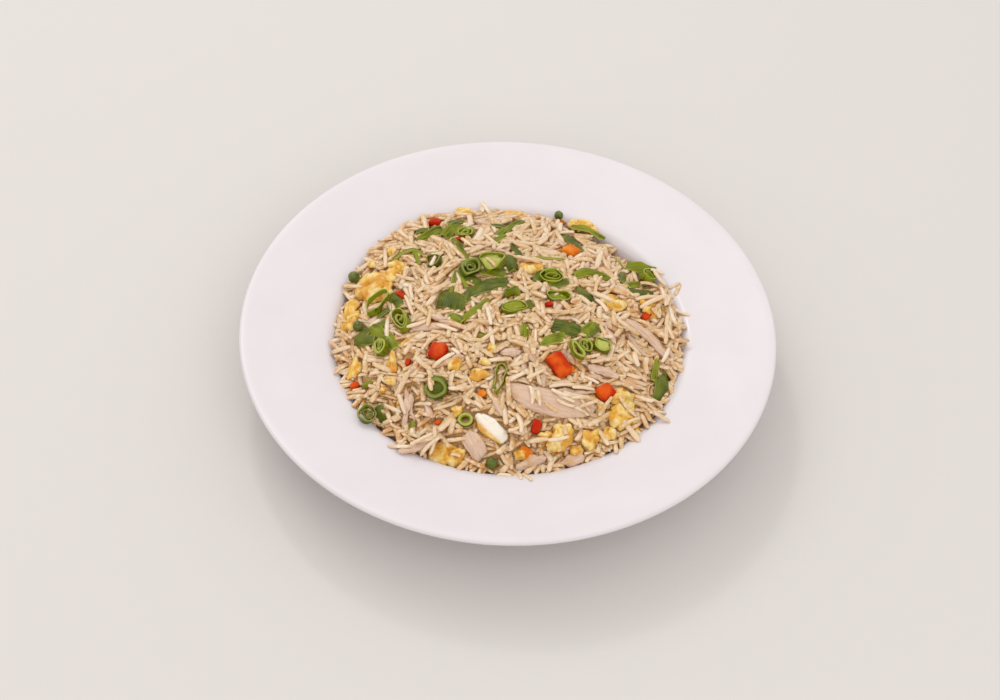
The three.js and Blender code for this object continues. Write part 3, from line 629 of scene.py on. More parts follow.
PEA_NODES = ["pea_left_back", "pea_back", "pea_left", "pea_front"]
skin, tree, shader = new_material("pea_skin", 0.3, (0.3, 0.18), (0.2, 0.0015, (0.5, 1, 0.2)), 0.3)
paint(tree, shader, blend(tree, patches(tree, 260, 0.5, 0.2, 0.2), srgb(62, 74, 8), srgb(104, 114, 28)))
for k, node in enumerate(PEA_NODES):
    points, normals, faces = rounded(node)
    points = points + normals * (relief(points, 2.6, 4.0 * k) * 0.28)[:, None]
    mark_cover(points, 0)
    add_piece(node + "_skin", points, faces, skin, "pea", node)


# Scallions: raw green tops, sliced across into rings and along into strips. The outer skin is glossy green
# with fine veins, the cut faces and the inside are paler. Each is the solid with its rims kept crisp, bent a
# little.

SCALLION_NODES = [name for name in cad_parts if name.startswith("scallion_")]
RING_NODES = [
    "scallion_ring_back", "scallion_ring_back_left", "scallion_ring_right", "scallion_ring_centre_left",
    "scallion_corner_centre", "scallion_pair_right", "scallion_oval_right", "scallion_tube_centre",
    "scallion_oval_centre", "scallion_loop_left", "scallion_oval_left", "scallion_spiral_left",
    "scallion_ring_pair_left", "scallion_ring_pair_right", "scallion_slim_oval", "scallion_long_oval",
    "scallion_ring_rim_left", "scallion_dark_ring"]
ROLLED_RINGS = [
    "scallion_spiral_left", "scallion_ring_rim_left", "scallion_ring_pair_left", "scallion_pair_right",
    "scallion_ring_right", "scallion_oval_left", "scallion_ring_back", "scallion_ring_centre_left"]
# Rings that a leaf closes: the leaf's level, from -1 at the ring's foot to 1 at its rim, and how pale it is
FILMS = {
    "scallion_dark_ring": (0.4, 0.0), "scallion_corner_centre": (-0.6, 1.0),
    "scallion_oval_right": (0.5, 0.6), "scallion_oval_centre": (0.7, 0.6),
    "scallion_ring_pair_right": (0.2, 1.0)}
THICK_RINGS = {"scallion_dark_ring": 0.8, "scallion_slim_oval": 0.5, "scallion_ring_centre_left": 0.4}
DARK_NODES = [
    "scallion_leaf_back_right", "scallion_strip_right", "scallion_leaf_centre", "scallion_flap_centre",
    "scallion_square_left", "scallion_diamond_right", "scallion_flap_right", "scallion_diamond_rim",
    "scallion_ring_back_left", "scallion_ring_centre_left", "scallion_dark_ring", "scallion_ring_rim_left"]
# How much a point is cut face: 0 on the skin, about a half on the inside, 1 where the knife went through
SKIN, PALE_SKIN, INSIDE, RING_CUT, LEAF_CUT = 0.0, 0.4, 0.6, 0.8, 1.0
PALE_LEAVES = ["scallion_trough_right", "scallion_pale_strip"]
VEINS_ACROSS = ["scallion_square_left", "scallion_flap_centre"]
TUBE = "scallion_tube_centre"
# How far a ring and a leaf are bent out of the solid's form, and how high any piece may reach
RING_BEND, LEAF_BEND, HIGHEST = 1.7, 1.1, 64.7
# Small strips: x, y, heading, length, width, and 1 for dark green
STRIP_BITS = [
    (-52, 70, 9, 7, 4, 1), (-33, 78, 18, 10, 5, 1), (3, 49, -55, 12, 3.5, 1), (21, 44, 1, 21, 2, 0),
    (64, 40, 83, 9, 3, 1), (62, 61, -65, 14, 2.5, 0), (-32, 20, 82, 18, 2.2, 0), (-27, 23, -65, 13, 2.2, 0),
    (-29, -6, -39, 10, 5, 0), (11, 3, -69, 6, 4, 1), (-81, -14, -25, 9, 6, 1), (9, -15, -88, 8.5, 5, 0),
    (-14, -21, 10, 5, 2, 0), (24, -22, 19, 13, 4, 0), (47, -11, 49, 9, 4, 1), (-67, -61, -66, 11, 6, 1),
    (82, -25, -98, 15, 4, 0), (-50, -70, 30, 4, 2.5, 0), (-76, -43, 15, 6, 3, 0), (-10, 28, -15, 15, 6, 0),
    (-21, 23, -33, 14, 5, 1), (-23, 12, 75, 11, 4, 1), (-70, 3, 34, 8, 4, 1), (-32, 69, -44, 12, 6, 0),
    (-28, 63, -30, 10, 4, 0), (38, 85, -45, 14, 5, 0), (32, 74, 18, 8, 4, 0), (38, 65, -78, 13, 4.5, 1),
    (27, 23, 32, 13, 6, 1), (16, 26, 73, 11, 5, 1), (23, 32, -2, 12, 5, 0), (70, 37, 46, 12, 5, 0),
    (79, 48, 49, 13, 6, 1), (64, 43, 86, 13, 4, 1), (45, -10, 52, 12, 8, 0), (25, -19, 24, 13, 5, 0),
    (-79, -15, -9, 12, 7, 1), (-7, 59, 55, 11, 4, 0), (-8, 74, -10, 11, 4, 1), (-31, 53, -62, 13, 3, 0),
    (22, -59, -56, 7, 3, 1), (-64, 12, -57, 15, 6, 1), (-71, -12, -50, 17, 6, 0), (-81, -10, 41, 11, 6, 1),
    (-65, -19, -62, 14, 6, 0), (-54, 45, -71, 14, 2.5, 0), (-28, 45, -66, 19, 3, 0), (-14, 38, 7, 17, 5, 0),
    (-7, 36, -77, 15, 6, 1)]
# Small rings: x, y, heading, length, width
RING_BITS = [(-21, -70, 0, 8, 7), (23, -56, 60, 6.5, 5), (-2, -78, 20, 5, 4)]
RING_BIT_HEIGHT, RING_BIT_WALL, LEAF_WALL = 4, 1.7, 0.75


def scallion_look(name, deep, fresh, pale, inside):
    look, tree, shader = new_material(name, 0.35, (0.1, 0.1), (0.12, 0.0012, (0.7, 1, 0.1)), 0.2)
    lines = streaks(tree, 0.05, 2.0, 4.0)
    skin = blend(tree, lines["Streak"], deep, fresh)
    uneven = blend(tree, patches(tree, 140, 0.55, 0.2, 0.9), skin, inside)
    lined = blend(tree, ramp(tree, lines["Cut"], 0.25, 0.55), uneven, inside)
    colour = blend(tree, ramp(tree, lines["Cut"], 0.65, 0.95), lined, pale)
    paint(tree, shader, colour, lines["Streak"], 0.35, 0.0003)
    return look


def hollow(local):
    """A function of the angle about a ring's axis that gives how far its hollow reaches there"""
    angle, away = np.arctan2(local[:, 1], local[:, 2]), np.hypot(local[:, 1], local[:, 2])
    turn = np.linspace(-math.pi, math.pi, 37)
    near = [away[np.cos(angle - a) > 0.97].min() for a in turn]
    return lambda a: np.interp((a + math.pi) % (2 * math.pi) - math.pi, turn, near)


def inner_roll(local, reach):
    """The inner leaf that is rolled up inside a ring: points, faces and how much each is cut face"""
    high = np.ptp(local[:, 0]) / 2
    rows, cut = [], []
    for t in np.linspace(0, 1, 40):
        turn = 0.6 + t * 3.2 * math.pi
        away = reach(turn) * (0.95 - 0.68 * t + 0.1 * math.sin(2.3 * turn + reach(0)))
        thick = 0.45
        path = [(away + d) * np.array([math.sin(turn), math.cos(turn)]) for d in (-thick, thick)]
        level = high * (0.75 + 0.25 * math.sin(1.7 * turn))
        rows.append([[z, *path[k]] for z, k in ((-high * 0.8, 1), (level, 1), (level, 0), (-high * 0.8, 0))])
        cut.append([0.3, RING_CUT, RING_CUT, INSIDE])
    points, faces = swept(rows)
    return points, faces, np.ravel(cut)


def film(local, reach, level, cut):
    """A thin leaf that closes a ring at a level, from -1 at its foot to 1 at its rim"""
    high = np.ptp(local[:, 0]) / 2
    turn = np.linspace(-math.pi, math.pi, 30, endpoint=False)
    below, above = (0.05, 0.6, 1.08), (1.08, 0.8, 0.5, 0.25, 0.05)
    rows = []
    for side, share in [(-1, share) for share in below] + [(1, share) for share in above]:
        flat = np.stack([np.sin(turn), np.cos(turn)], 1) * (share * reach(turn))[:, None]
        folds = np.array([noise.noise(Vector((*p, level)) / 2.6) for p in flat])
        rows.append(np.column_stack([high * level + 0.35 * side + 0.9 * folds, flat]))
    points, faces = swept(rows)
    return points, faces, np.full(len(points), cut)


def slice_piece(node, look, ring):
    """Adds one ring or leaf. Its cut faces are told from its skin by the way they look"""
    points, normals, faces = rounded(node, 55 if ring else 35, 0.7)
    middle, axes = long_axes(points)
    through = axes[0] if node == TUBE else axes[2]
    level = np.abs(normals @ through)
    if ring:
        inner = np.einsum("ij,ij->i", normals, points - middle) < 0
        cut = np.where(level > 0.85, RING_CUT, np.where(inner, INSIDE, SKIN))
        axes = np.array([through, axes[1], axes[0]])
    else:
        cut = np.where(level < 0.45, LEAF_CUT, PALE_SKIN if node in PALE_LEAVES else SKIN)
    if node in VEINS_ACROSS:
        axes = axes[[1, 0, 2]]
    points = points + normals * THICK_RINGS.get(node, -0.1 if ring else 0.1)
    if node in ROLLED_RINGS or node in FILMS:
        local = (points - middle) @ axes.T
        rolled = node in ROLLED_RINGS
        inside = inner_roll(local, hollow(local)) if rolled else film(local, hollow(local), *FILMS[node])
        points, faces = joined([(points, faces), (middle + inside[0] @ axes, inside[1])])
        cut = np.concatenate([cut, inside[2]])
    bend = np.stack([relief(points, 7, 3.0), relief(points, 7, 23.0), relief(points, 6, 43.0)], 1)
    points = points + bend * (RING_BEND if ring else LEAF_BEND)
    points[:, 2] = np.minimum(points[:, 2], HIGHEST)
    mark_cover(points, 0)
    mesh = add_piece(node + "_slice", points, faces, look, "scallion", node)
    store(mesh, "fibre", fibres(points, middle, axes, cut))


def strip(length, width):
    """A slice of leaf along X, hollow across and arched: points, faces and how much each is cut face"""
    rows, cut = [], []
    across = np.linspace(-1, 1, 7)
    for t in np.linspace(-1, 1, 12):
        half = width / 2 * (1 - 0.25 * abs(t) ** 4)
        lift = 0.5 * (1 - t * t) - 0.16 * width * across ** 2
        under = np.stack([0 * across + t * length / 2, half * across, lift], 1)
        over = under[::-1] + np.array([0, 0, LEAF_WALL])
        rows.append(np.vstack([under, over]))
        ends = np.tile(np.abs(across) > 0.99, 2) | (abs(t) > 0.99)
        cut.append(np.where(ends, LEAF_CUT, SKIN))
    points, faces = swept(rows)
    return points, faces, np.concatenate(cut)


def loop(length, width, high, wall):
    """A closed ring about Z with a square wall: points, faces and how much each is cut face"""
    sides = 28
    turn = np.linspace(0, 2 * math.pi, sides, endpoint=False)
    out = np.stack([np.cos(turn) * length / 2, np.sin(turn) * width / 2], 1)
    inner = out * (1 - wall / np.linalg.norm(out, axis=1))[:, None]
    corners = [(out, -high / 2), (out, high / 2), (inner, high / 2), (inner, -high / 2), (out, -high / 2)]
    points, faces = swept([np.column_stack([flat, np.full(sides, z)]) for flat, z in corners])
    points = points[:-sides]
    faces = [tuple(i % len(points) for i in face) for face in faces[2:]]
    return points, faces, np.repeat([SKIN, LEAF_CUT, INSIDE, INSIDE], sides)


bright = scallion_look("scallion_bright", deep=srgb(50, 70, 0), fresh=srgb(142, 146, 4),
                       pale=srgb(188, 190, 98), inside=srgb(138, 144, 22))
dark = scallion_look("scallion_dark", deep=srgb(38, 54, 0), fresh=srgb(102, 111, 22),
                     pale=srgb(158, 164, 84), inside=srgb(108, 116, 28))
for node in SCALLION_NODES:
    slice_piece(node, dark if node in DARK_NODES else bright, node in RING_NODES)
for name, look, kind in (("scallion_bits", bright, 0), ("scallion_dark_bits", dark, 1)):
    bits, fibre = [], []
    made = [(x, y, yaw, strip(length, width)) for x, y, yaw, length, width, hue in STRIP_BITS if hue == kind]
    if kind == 0:
        for x, y, yaw, length, width in RING_BITS:
            made.append((x, y, yaw, loop(length, width, RING_BIT_HEIGHT, RING_BIT_WALL)))
    for x, y, yaw, (flat, faces, cut) in made:
        bits.append((moved(flat, heap_frame(x, y, yaw, 0.2, rng.uniform(-12, 12))), faces))
        fibre.append(np.column_stack([flat[:, :2] + rng.uniform(0, 90), cut]))
        mark_cover(bits[-1][0], 0)
    store(add_piece(name, *joined(bits), look, "scallion"), "fibre", np.vstack(fibre))


# Bed: the moist rice that is packed under the grains that show, seen only between them and painted a
# saturated brown as the shade in the gaps. One lumpy cushion, a little below the grains, that dips where a
# topping lies in the heap and slopes off at the heap's edge, under the grains at the foot.

BED_DEPTH, DEEPEST_DIP, SMOOTHED_RISE, BED_EDGE_DROP = 1.3, 2.0, 0.8, 8
# Shares of the heap's radius: where the slope begins, how wide it is, and where the bed ends
SLOPE_START, SLOPE_WIDTH, BED_EDGE = 0.93, 0.055, 0.985
# How far round a topping the rice stays below it, in cells, and how far it may rise over its lowest point
FIRM_REACH, FIRM_GAP = 6, 0.3
SOFT_REACH, SOFT_GAP = 4, 1.0

lowest = spread_over(lowest, 1, np.minimum)
highest = spread_over(highest, 1, np.maximum)
firm = spread_over(np.where(soft_cover > 0, NOTHING, lowest), FIRM_REACH, np.minimum) + FIRM_GAP
soft = spread_over(np.where(soft_cover > 0, lowest, NOTHING), SOFT_REACH, np.minimum) + SOFT_GAP
dipped = np.maximum(np.minimum(target, np.minimum(firm, soft)), target - DEEPEST_DIP)
target = np.where(in_heap < 1, dipped, 0)
bed = target - BED_DEPTH
for shift in ((2, 0), (-2, 0), (0, 2), (0, -2)):
    bed = (bed + np.roll(bed, shift, (0, 1))) / 2
edge_drop = BED_EDGE_DROP * np.clip((in_heap - SLOPE_START) / SLOPE_WIDTH, 0, 1) ** 2
bed = np.where(in_heap < BED_EDGE, np.minimum(bed, target - BED_DEPTH + SMOOTHED_RISE) - edge_drop, 0)
ground = np.maximum(plate_height(map_x, map_y), bed)


def bed_form():
    """Points and faces of the bed: its top, followed from the middle out, and then its underside"""
    sides, rings, clearance, roughness = 320, 90, 0.4, 1.1
    turn = np.linspace(0, 2 * math.pi, sides, endpoint=False)
    edge = heap_radius(turn) * BED_EDGE
    rows = []
    for k, share in enumerate([*np.linspace(0.01, 1, rings), 0.97, 0.8, 0.62]):
        x, y = edge * share * np.cos(turn), edge * share * np.sin(turn)
        rows.append((x, y, ground[cell(x), cell(y)] if k < rings else plate_height(x, y) + clearance))
    points = np.array(rows).transpose(0, 2, 1).reshape(-1, 3)
    rough = relief(points, 2.6) + 0.5 * relief(points, 1.3)
    points[: sides * rings, 2] += rough[: sides * rings] * roughness
    points[:, 2] = np.maximum(points[:, 2], plate_height(points[:, 0], points[:, 1]) + clearance)
    faces = [tuple(range(sides)), tuple(range(len(points) - 1, len(points) - sides - 1, -1))]
    walls = swept(points.reshape(-1, sides, 3))[1][2:]
    return points, faces + [(a, d, c, b) for a, b, c, d in walls]


shade, tree, shader = new_material("rice_bed_shade", 0.6)
# Painted shade: a saturated brown that stands for the shade in the gaps between the grains
paint(tree, shader, blend(tree, speckle(tree, 260, 3), srgb(206, 158, 92), srgb(226, 188, 132)))
add_piece("rice_bed_shade", *bed_form(), shade, "rice", "rice")


# Rice: about 2,500 cooked grains of long-grain rice, slim and slightly bent, some broken short. Each is
# dropped as a stiff stick on what lies there and comes to rest on the two points that hold it up, level or
# tipped over.

GRAIN_LENGTH, GRAIN_WIDTH, FLATNESS = (10.5, 17), (2.1, 3.5), 0.58
BROKEN_LENGTH, BROKEN_SHARE = (5, 10), 0.2
STEEPEST = 0.6
SIDES, RINGS = 8, 7
# Where a grain is felt across its width, how much its round side spares there, and how far it sinks in
FELT_SIDES, ROUND_SIDE, SINKING = (-0.7, 0, 0.7), 0.3, 0.15
# How far and over what share a grain may pass what lies over it, and what share may hide a firm topping
PASSING, PASSING_SHARE, HIDING_SHARE = 0.3, 0.08, 0.12
# Mean and spread of a grain's sideways bend, its sag, its unevenness, and its tint, from brown 0 to white 1
BEND, SAG, UNEVEN, TINT = (0, 0.6), (0.12, 0.12), (0, 0.07), (0.62, 0.2)
# A bend or sag is that of a grain so long
USUAL_LENGTH = 11
# Painted shade: below this depth a grain is painted darker by this much per millimetre, down to the deepest
SHADE_FROM, SHADE_RATE, SHADE_DEEPEST = 0.5, 0.4, 2
PALE_WIDTH, LAID_WIDTH = 2.6, 2.4
# How far a grain may miss its place, and how much its heading differs from that of the grains round it
MISS, TURN_SPREAD = 0.3, 0.6
# The foot: how far over the heap's edge it begins, how steeply it falls, and its end as a share of the radius
FOOT_LIFT, FOOT_FALL, FOOT_END = 1, 120, 1.03

# Single grains that stand out in the photo: x, y, heading, length
PALE_GRAINS = [
    (-67, -10, 90, 15), (-44, 37, 74, 8), (-58, 25, -15, 14), (-55, 15, -81, 13), (-11, -8, -79, 15),
    (-50, -11, 26, 14), (-34, -15, -29, 14), (-35, -38, 38, 15), (-41, -50, -76, 13), (-63, -64, -76, 12),
    (-61, -61, -26, 11), (-56, -60, -67, 12), (-25, -55, 9, 13), (7, -46, 36, 13), (8, -75, -77, 13),
    (16, -58, -57, 12), (30, -49, 9, 14), (42, -49, 5, 13), (31, -57, -26, 14), (43, -59, -53, 11),
    (54, -58, 59, 14), (53, -74, -60, 13), (75, -47, -21, 12), (-16, 95, -64, 12)]
# Grains that lie over toppings, most of them over the chicken slab
SLAB_GRAINS = [
    (13, -44, -89, 14), (17, -45, -79, 14), (14, -58, -81, 11), (18, -60, -82, 10), (30, -56, -8, 12),
    (38, -54, 5, 15), (40, -57, 2, 15), (33, -61, -11, 12), (41, -63, -19, 10), (16, -46, 33, 12),
    (25, -64, -26, 9), (48, -58, -3, 10), (45, -60, 14, 11), (-41, -55, -82, 11), (-11, 30, -50, 9)]
# Grains that lie at the heap's foot and over the well's edge
SPILT_GRAINS = [
    (-44, -83, 35, 15), (-40, -86, 38, 14), (-54, -86, -8, 10), (-57, -83, 20, 11), (83, -54, 25, 12),
    (85, -57, -24, 12), (68, -66, 38, 14), (58, -76, 26, 9), (86, 34, -86, 14), (87, 24, -80, 14),
    (97, 23, -27, 13), (91, 38, -58, 9), (94, 43, 24, 8), (96, 40, 70, 9), (89, 10, -97, 14),
    (88, -2, -92, 13), (90, 2, -70, 13), (13, -100, -50, 9), (9, -99, -70, 8), (1, -99, -4, 8),
    (92, 14, -75, 14), (90, 28, -100, 13), (85, 42, -40, 12), (88, -14, -110, 12), (84, 47, 10, 10)]

firm_cover = (highest > 0) & (soft_cover == 0)
heading = 2.4 * waves(map_x, map_y, 34) + 1.2 * waves(map_x, map_y, 13)
along_grain = np.linspace(-0.48, 0.48, 13)


def rest(x, y, yaw, length, width, lean, give):
    """Where a grain dropped at a place comes to rest: its middle's height and its slope"""
    s = along_grain * length
    half = width / 2 * np.sqrt(1 - np.abs(2 * along_grain) ** 4)
    cos, sin = math.cos(yaw), math.sin(yaw)
    held = np.full(len(s), -NOTHING)
    for side in FELT_SIDES:
        i, j = cell(x + s * cos - side * half * sin), cell(y + s * sin + side * half * cos)
        held = np.maximum(held, ground[i, j] - ROUND_SIDE * half * abs(side))
    held = np.minimum(held, np.quantile(held, 1 - give)) + SINKING * half
    left, right = s < 0, s > 0
    cross = (held[left][:, None] * s[right] - held[right] * s[left][:, None]) / (s[right] - s[left][:, None])
    height = max(held[len(s) // 2], cross.max())
    lowest_slope = ((held[right] - height) / s[right]).max()
    highest_slope = ((held[left] - height) / s[left]).min()
    slope = lowest_slope if rng.random() < 0.5 else highest_slope
    slope = min(STEEPEST, max(-STEEPEST, slope + lean))
    return (held - slope * s).max(), slope


def footprint(x, y, yaw, length, width):
    """The cells that a grain covers, and how far along and across it each lies"""
    reach = int(length / 2 / MAP_STEP) + 2
    i0, j0 = int(cell(x)), int(cell(y))
    rows = slice(max(0, i0 - reach), i0 + reach + 1)
    columns = slice(max(0, j0 - reach), j0 + reach + 1)
    dx, dy = map_x[rows, columns] - x, map_y[rows, columns] - y
    u = dx * math.cos(yaw) + dy * math.sin(yaw)
    v = -dx * math.sin(yaw) + dy * math.cos(yaw)
    half = width / 2 * np.sqrt(np.clip(1 - np.abs(2 * u / length) ** 4, 0, 1))
    return rows, columns, u, v, half, (np.abs(v) < half) & (half > 0)


grains = []


def lay(x, y, yaw, length, width, lean=0.0, under=None, give=0.3, bare=None, pale=0.0, into=grains):
    """Lays a grain unless it would pass through what is over it, or lie on what is to stay bare"""
    height, slope = rest(x, y, yaw, length, width, lean, give)
    rows, columns, u, v, half, inside = footprint(x, y, yaw, length * math.cos(math.atan(slope)), width)
    top = height + slope * u + FLATNESS * np.sqrt(np.clip(half ** 2 - v ** 2, 0, None))
    if under is not None and (top[inside] > under[rows, columns][inside] + PASSING).mean() > PASSING_SHARE:
        return
    if bare is not None and bare[rows, columns][inside].mean() > HIDING_SHARE:
        return
    if top[inside].max() > HIGHEST:
        return
    ground[rows, columns] = np.where(inside, np.maximum(ground[rows, columns], top), ground[rows, columns])
    into.append((x, y, height, yaw, slope, length, width, pale))


def pour(count, wanted, least, under=None, lean=0.05, lengths=None, widths=GRAIN_WIDTH, **rest_of_lay):
    """Lays up to a count of grains where the heap is most below what is wanted"""
    for n in range(count):
        if n % 100 == 0:
            spots = np.argwhere(wanted - ground > least)
        if len(spots) == 0:
            return
        few = spots[rng.integers(0, len(spots), 4)]
        i, j = few[int(np.argmax((wanted - ground)[few[:, 0], few[:, 1]]))]
        x, y = map_x[i, j] + rng.uniform(-MISS, MISS), map_y[i, j] + rng.uniform(-MISS, MISS)
        span = lengths or (BROKEN_LENGTH if rng.random() < BROKEN_SHARE else GRAIN_LENGTH)
        yaw = heading[i, j] + rng.normal(0, TURN_SPREAD)
        size = rng.uniform(*span), rng.uniform(*widths)
        lay(x, y, yaw, *size, rng.normal(0, lean), under, **rest_of_lay)


shreds, crumbs = [], []
target = np.minimum(target, lowest + 0.4)
# First short grains at the foot, then the grains below, with chicken shreds and egg crumbs on them
foot = HEAP_EDGE + lobes(np.arctan2(map_y, map_x), 3) + FOOT_LIFT - FOOT_FALL * (in_heap - BED_EDGE)
at_foot = (map_y > -45) & (in_heap > BED_EDGE) & (in_heap < FOOT_END)
pour(900, np.where(at_foot, foot, 0), 0.5, lowest, lengths=(6, 12))
# The grains below show only in the gaps, and are painted darker there as shade
pour(2600, target - 1.0, 0.3, lowest, pale=-0.8)
pour(260, target, 0.3, lowest, lengths=(8, 15), widths=(2.8, 4.6), into=shreds)
eggy = (map_x < -52) | (map_y < -48) | (np.hypot(map_x + 20, map_y + 45) < 22)
pour(120, np.where(eggy, target, 0), 0.3, lowest, lengths=(4, 8), widths=(3.2, 5), into=crumbs)
# Then the grains that show, short ones in the pits that are left, and a few that stand proud or lie over egg
pour(4200, target, 0.3, lowest, give=0.55)
pits = spread_over(ground, 3, np.maximum) - ground > 0.9
pour(1400, np.where(pits, target + 1, 0), 0.5, lowest + 0.8, lengths=(5, 10), give=0.5)
ground = np.maximum(ground, highest)
pour(130, np.where(in_heap < 1, target + 1.0, 0), 0.6, lean=0.16, bare=firm_cover)
over_soft = (soft_cover > 0) & (in_heap < 0.97)
pour(45, np.where(over_soft, highest + 1.2, 0), 0.4, lean=0.1, bare=firm_cover)
for spots, width, pale in ((PALE_GRAINS, PALE_WIDTH, 1.0), (SLAB_GRAINS, LAID_WIDTH, 0.3),
                           (SPILT_GRAINS, LAID_WIDTH, 0.5)):
    for x, y, yaw, length in spots:
        lay(x, y, math.radians(yaw), length, width, pale=pale)


def grain_forms(chosen):
    """Points, faces and tints of grains as one mesh, each a tapered spindle that bends a little, painted
    darker on its deep points as shade
    """
    table = np.array(chosen)
    count = len(table)
    centre, yaw, slope = table[:, :3], table[:, 3], np.arctan(table[:, 4])
    length, width = table[:, 5], table[:, 6]
    t = np.array([-1, -0.985, -0.9, -0.55, 0, 0.55, 0.9, 0.985, 1])
    size = np.sqrt(np.clip(1 - np.abs(t) ** 10, 0, 1)) * (1 - 0.05 * t)
    ahead = np.stack([np.cos(yaw) * np.cos(slope), np.sin(yaw) * np.cos(slope), np.sin(slope)], 1)
    side = np.stack([-np.sin(yaw), np.cos(yaw), 0 * yaw], 1)
    above = np.cross(ahead, side)
    bend = rng.normal(*BEND, count) * length / USUAL_LENGTH
    sag = rng.normal(*SAG, count) * length / USUAL_LENGTH
    spine = centre[:, None] + ahead[:, None] * (t * length[:, None] / 2)[..., None]
    spine = spine + side[:, None] * (bend[:, None] * (0.5 - t ** 2))[..., None]
    spine = spine + above[:, None] * (sag[:, None] * (0.5 - t ** 2))[..., None]
    turn = np.linspace(0, 2 * math.pi, SIDES, endpoint=False)
    uneven = 1 + rng.normal(*UNEVEN, (count, len(t), 1))
    half = (width[:, None] / 2 * size)[..., None] * uneven
    across = half[..., None] * np.cos(turn)[None, None, :, None] * side[:, None, None]
    upward = half[..., None] * FLATNESS * np.sin(turn)[None, None, :, None] * above[:, None, None]
    rings = (spine[:, 1:-1, None] + across[:, 1:-1] + upward[:, 1:-1]).reshape(count, -1, 3)
    points = np.concatenate([spine[:, :1], rings, spine[:, -1:]], axis=1)
    faces = []
    last = RINGS * SIDES + 1
    for i in range(SIDES):
        j = (i + 1) % SIDES
        faces.append((0, 1 + j, 1 + i))
        faces.append((last, last - SIDES + i, last - SIDES + j))
    walls = swept(np.zeros((RINGS, SIDES, 3)))[1][2:]
    faces += [tuple(1 + i for i in face) for face in walls]
    every = [tuple(k * (last + 1) + i for i in face) for k in range(count) for face in faces]
    tint_and_shade = rng.normal(*TINT, count) + 0.5 * table[:, 7]
    # Painted shade: points that lie deep below the heap's top are painted darker, towards brown
    depth = ground[cell(points[..., 0]), cell(points[..., 1])] - points[..., 2]
    tint_and_shade = np.clip(tint_and_shade, 0.1, 1)[:, None] - SHADE_RATE * np.clip(depth - SHADE_FROM, 0, SHADE_DEEPEST)
    return points.reshape(-1, 3), every, np.clip(tint_and_shade, 0, 1).reshape(-1)


grain_look, tree, shader = new_material("cooked_rice", 0.35, (0.24, 0.25), (0.6, 0.0009, (0.9, 0.95, 1)))
tint_and_shade = stored(tree, "tint_and_shade")["Fac"]
# Painted shade: the brown end of the tint is mostly where deep points and the grains below are painted as
# shade; the rest is each grain's own tone
base = blend(tree, ramp(tree, tint_and_shade, 0.0, 0.55, "LINEAR"), srgb(196, 136, 50), srgb(222, 188, 141))
base = blend(tree, ramp(tree, tint_and_shade, 0.55, 1.0, "LINEAR"), base, srgb(236, 217, 190))
soaked = blend(tree, patches(tree, 60, 0.55, 0.1, 0.5), base, srgb(213, 175, 120))
moist = blend(tree, patches(tree, 420, 0.55, 0.15, 0.8), soaked, srgb(229, 206, 175))
paint(tree, shader, moist)
half_way = len(grains) // 2
for name, chosen in (("rice_grains_lower", grains[:half_way]), ("rice_grains_upper", grains[half_way:])):
    points, faces, tints = grain_forms(chosen)
    store(add_piece(name, points, faces, grain_look, "rice", "rice"), "tint_and_shade", tints)


def lying(x, y, height, yaw, slope):
    """The matrix that lays a piece as a grain lies"""
    tilt = math.atan(slope)
    ahead = np.array([math.cos(yaw) * math.cos(tilt), math.sin(yaw) * math.cos(tilt), math.sin(tilt)])
    side = np.array([-math.sin(yaw), math.cos(yaw), 0])
    return np.column_stack([ahead, side, np.cross(ahead, side), (x, y, height)])


# The shreds and crumbs that were poured among the grains are dressed as chicken and egg
SHRED_RIDGES, SHRED_RELIEF, CRUMB_RELIEF = 0.25, (4, 0.5, 0.5), (2.6, 0.7, 1.0)
bits, fibre = [], []
for k, (*place, length, width, _) in enumerate(shreds):
    form = length, width, FLATNESS * width, rng.normal(0, 0.8)
    flat, faces, lines = torn_strand(k, *form, SHRED_RIDGES, SHRED_RELIEF)
    bits.append((moved(flat, lying(*place)), faces))
    fibre.append(lines)
store(add_piece("chicken_shreds", *joined(bits), meat, "chicken"), "fibre", np.vstack(fibre))
bits, tints = [], []
for k, (*place, length, width, _) in enumerate(crumbs):
    points, normals, faces = cushion(length, width, 0.8 * width)
    # The relief also sets the tint: painted shade in the hollows, painted light on the tops
    rise = lumps(points, *CRUMB_RELIEF, 5.0 * k)
    bits.append((moved(points + normals * rise[:, None], lying(*place)), faces))
    tints.append(0.6 + rise / 1.5)
store(add_piece("egg_crumbs", *joined(bits), curd, "egg"), "tint_and_shade", np.concatenate(tints))


# Floor, light and camera: a plain pale floor under soft studio light from the upper left and behind, seen as
# the photo sees the dish, from the front, 49 degrees above the level and turned two degrees clockwise.

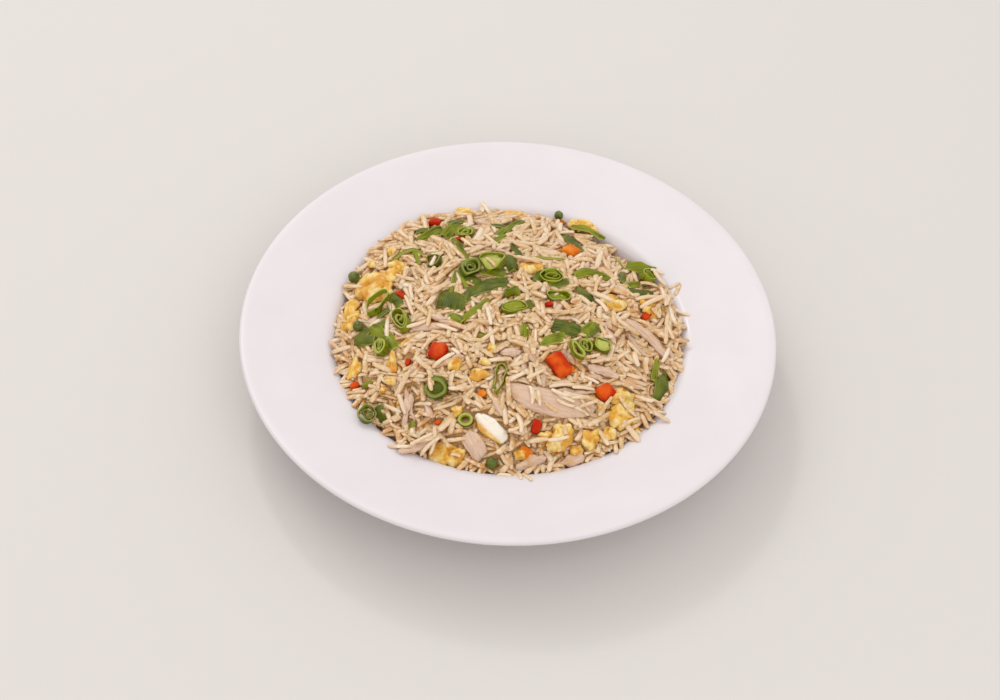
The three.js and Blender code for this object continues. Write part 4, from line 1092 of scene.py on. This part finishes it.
def add_light(name, place, aim, width, power, colour):
    lamp = bpy.data.lights.new(name, "AREA")
    lamp.size, lamp.energy, lamp.color = width, power, colour
    holder = bpy.data.objects.new(name, lamp)
    holder.location = place
    holder.rotation_euler = (Vector(aim) - Vector(place)).to_track_quat("-Z", "Y").to_euler()
    bpy.context.scene.collection.objects.link(holder)


surface = bpy.data.meshes.new("floor")
surface.from_pydata([(-3, -3, 0), (3, -3, 0), (3, 3, 0), (-3, 3, 0)], [], [(0, 1, 2, 3)])
floor = bpy.data.objects.new("floor", surface)
bpy.context.scene.collection.objects.link(floor)
floor_look, tree, shader = new_material("floor", 0.7)
shader.inputs["Base Color"].default_value = srgb(214, 210, 206)
surface.materials.append(floor_look)

add_light("key", (-0.8, 1.0, 1.6), (0, 0, 0.04), 1.0, 5.4, (1, 0.985, 0.96))
add_light("lamp", (-0.45, 1.2, 1.5), (0, 0, 0.04), 0.22, 3.5, (1, 0.99, 0.97))
add_light("fill", (0.4, -1.4, 1.6), (0, 0, 0.04), 1.6, 9, (1, 0.98, 0.97))
world = bpy.data.worlds.new("studio")
bpy.context.scene.world = world
world.use_nodes = True
world.node_tree.nodes["Background"].inputs["Color"].default_value = srgb(250, 247, 246)
world.node_tree.nodes["Background"].inputs["Strength"].default_value = 0.92
bpy.context.scene.view_settings.view_transform = "Standard"

CAMERA_AIM = Vector((-0.004162, -0.015979, 0.0405))
CAMERA_ELEVATION, CAMERA_ROLL, CAMERA_DISTANCE = math.radians(48.752), math.radians(2.383), 1.331892
camera = bpy.data.objects.new("camera", bpy.data.cameras.new("camera"))
back = Vector((0, -math.cos(CAMERA_ELEVATION), math.sin(CAMERA_ELEVATION)))
across = Vector((1, 0, 0))
above = back.cross(across)
right = math.cos(CAMERA_ROLL) * across + math.sin(CAMERA_ROLL) * above
up = -math.sin(CAMERA_ROLL) * across + math.cos(CAMERA_ROLL) * above
turned = Matrix((right, up, back)).transposed().to_4x4()
camera.matrix_world = Matrix.Translation(CAMERA_AIM + back * CAMERA_DISTANCE) @ turned
camera.data.lens, camera.data.sensor_width = 86.4, 36
bpy.context.scene.collection.objects.link(camera)
bpy.context.scene.camera = camera
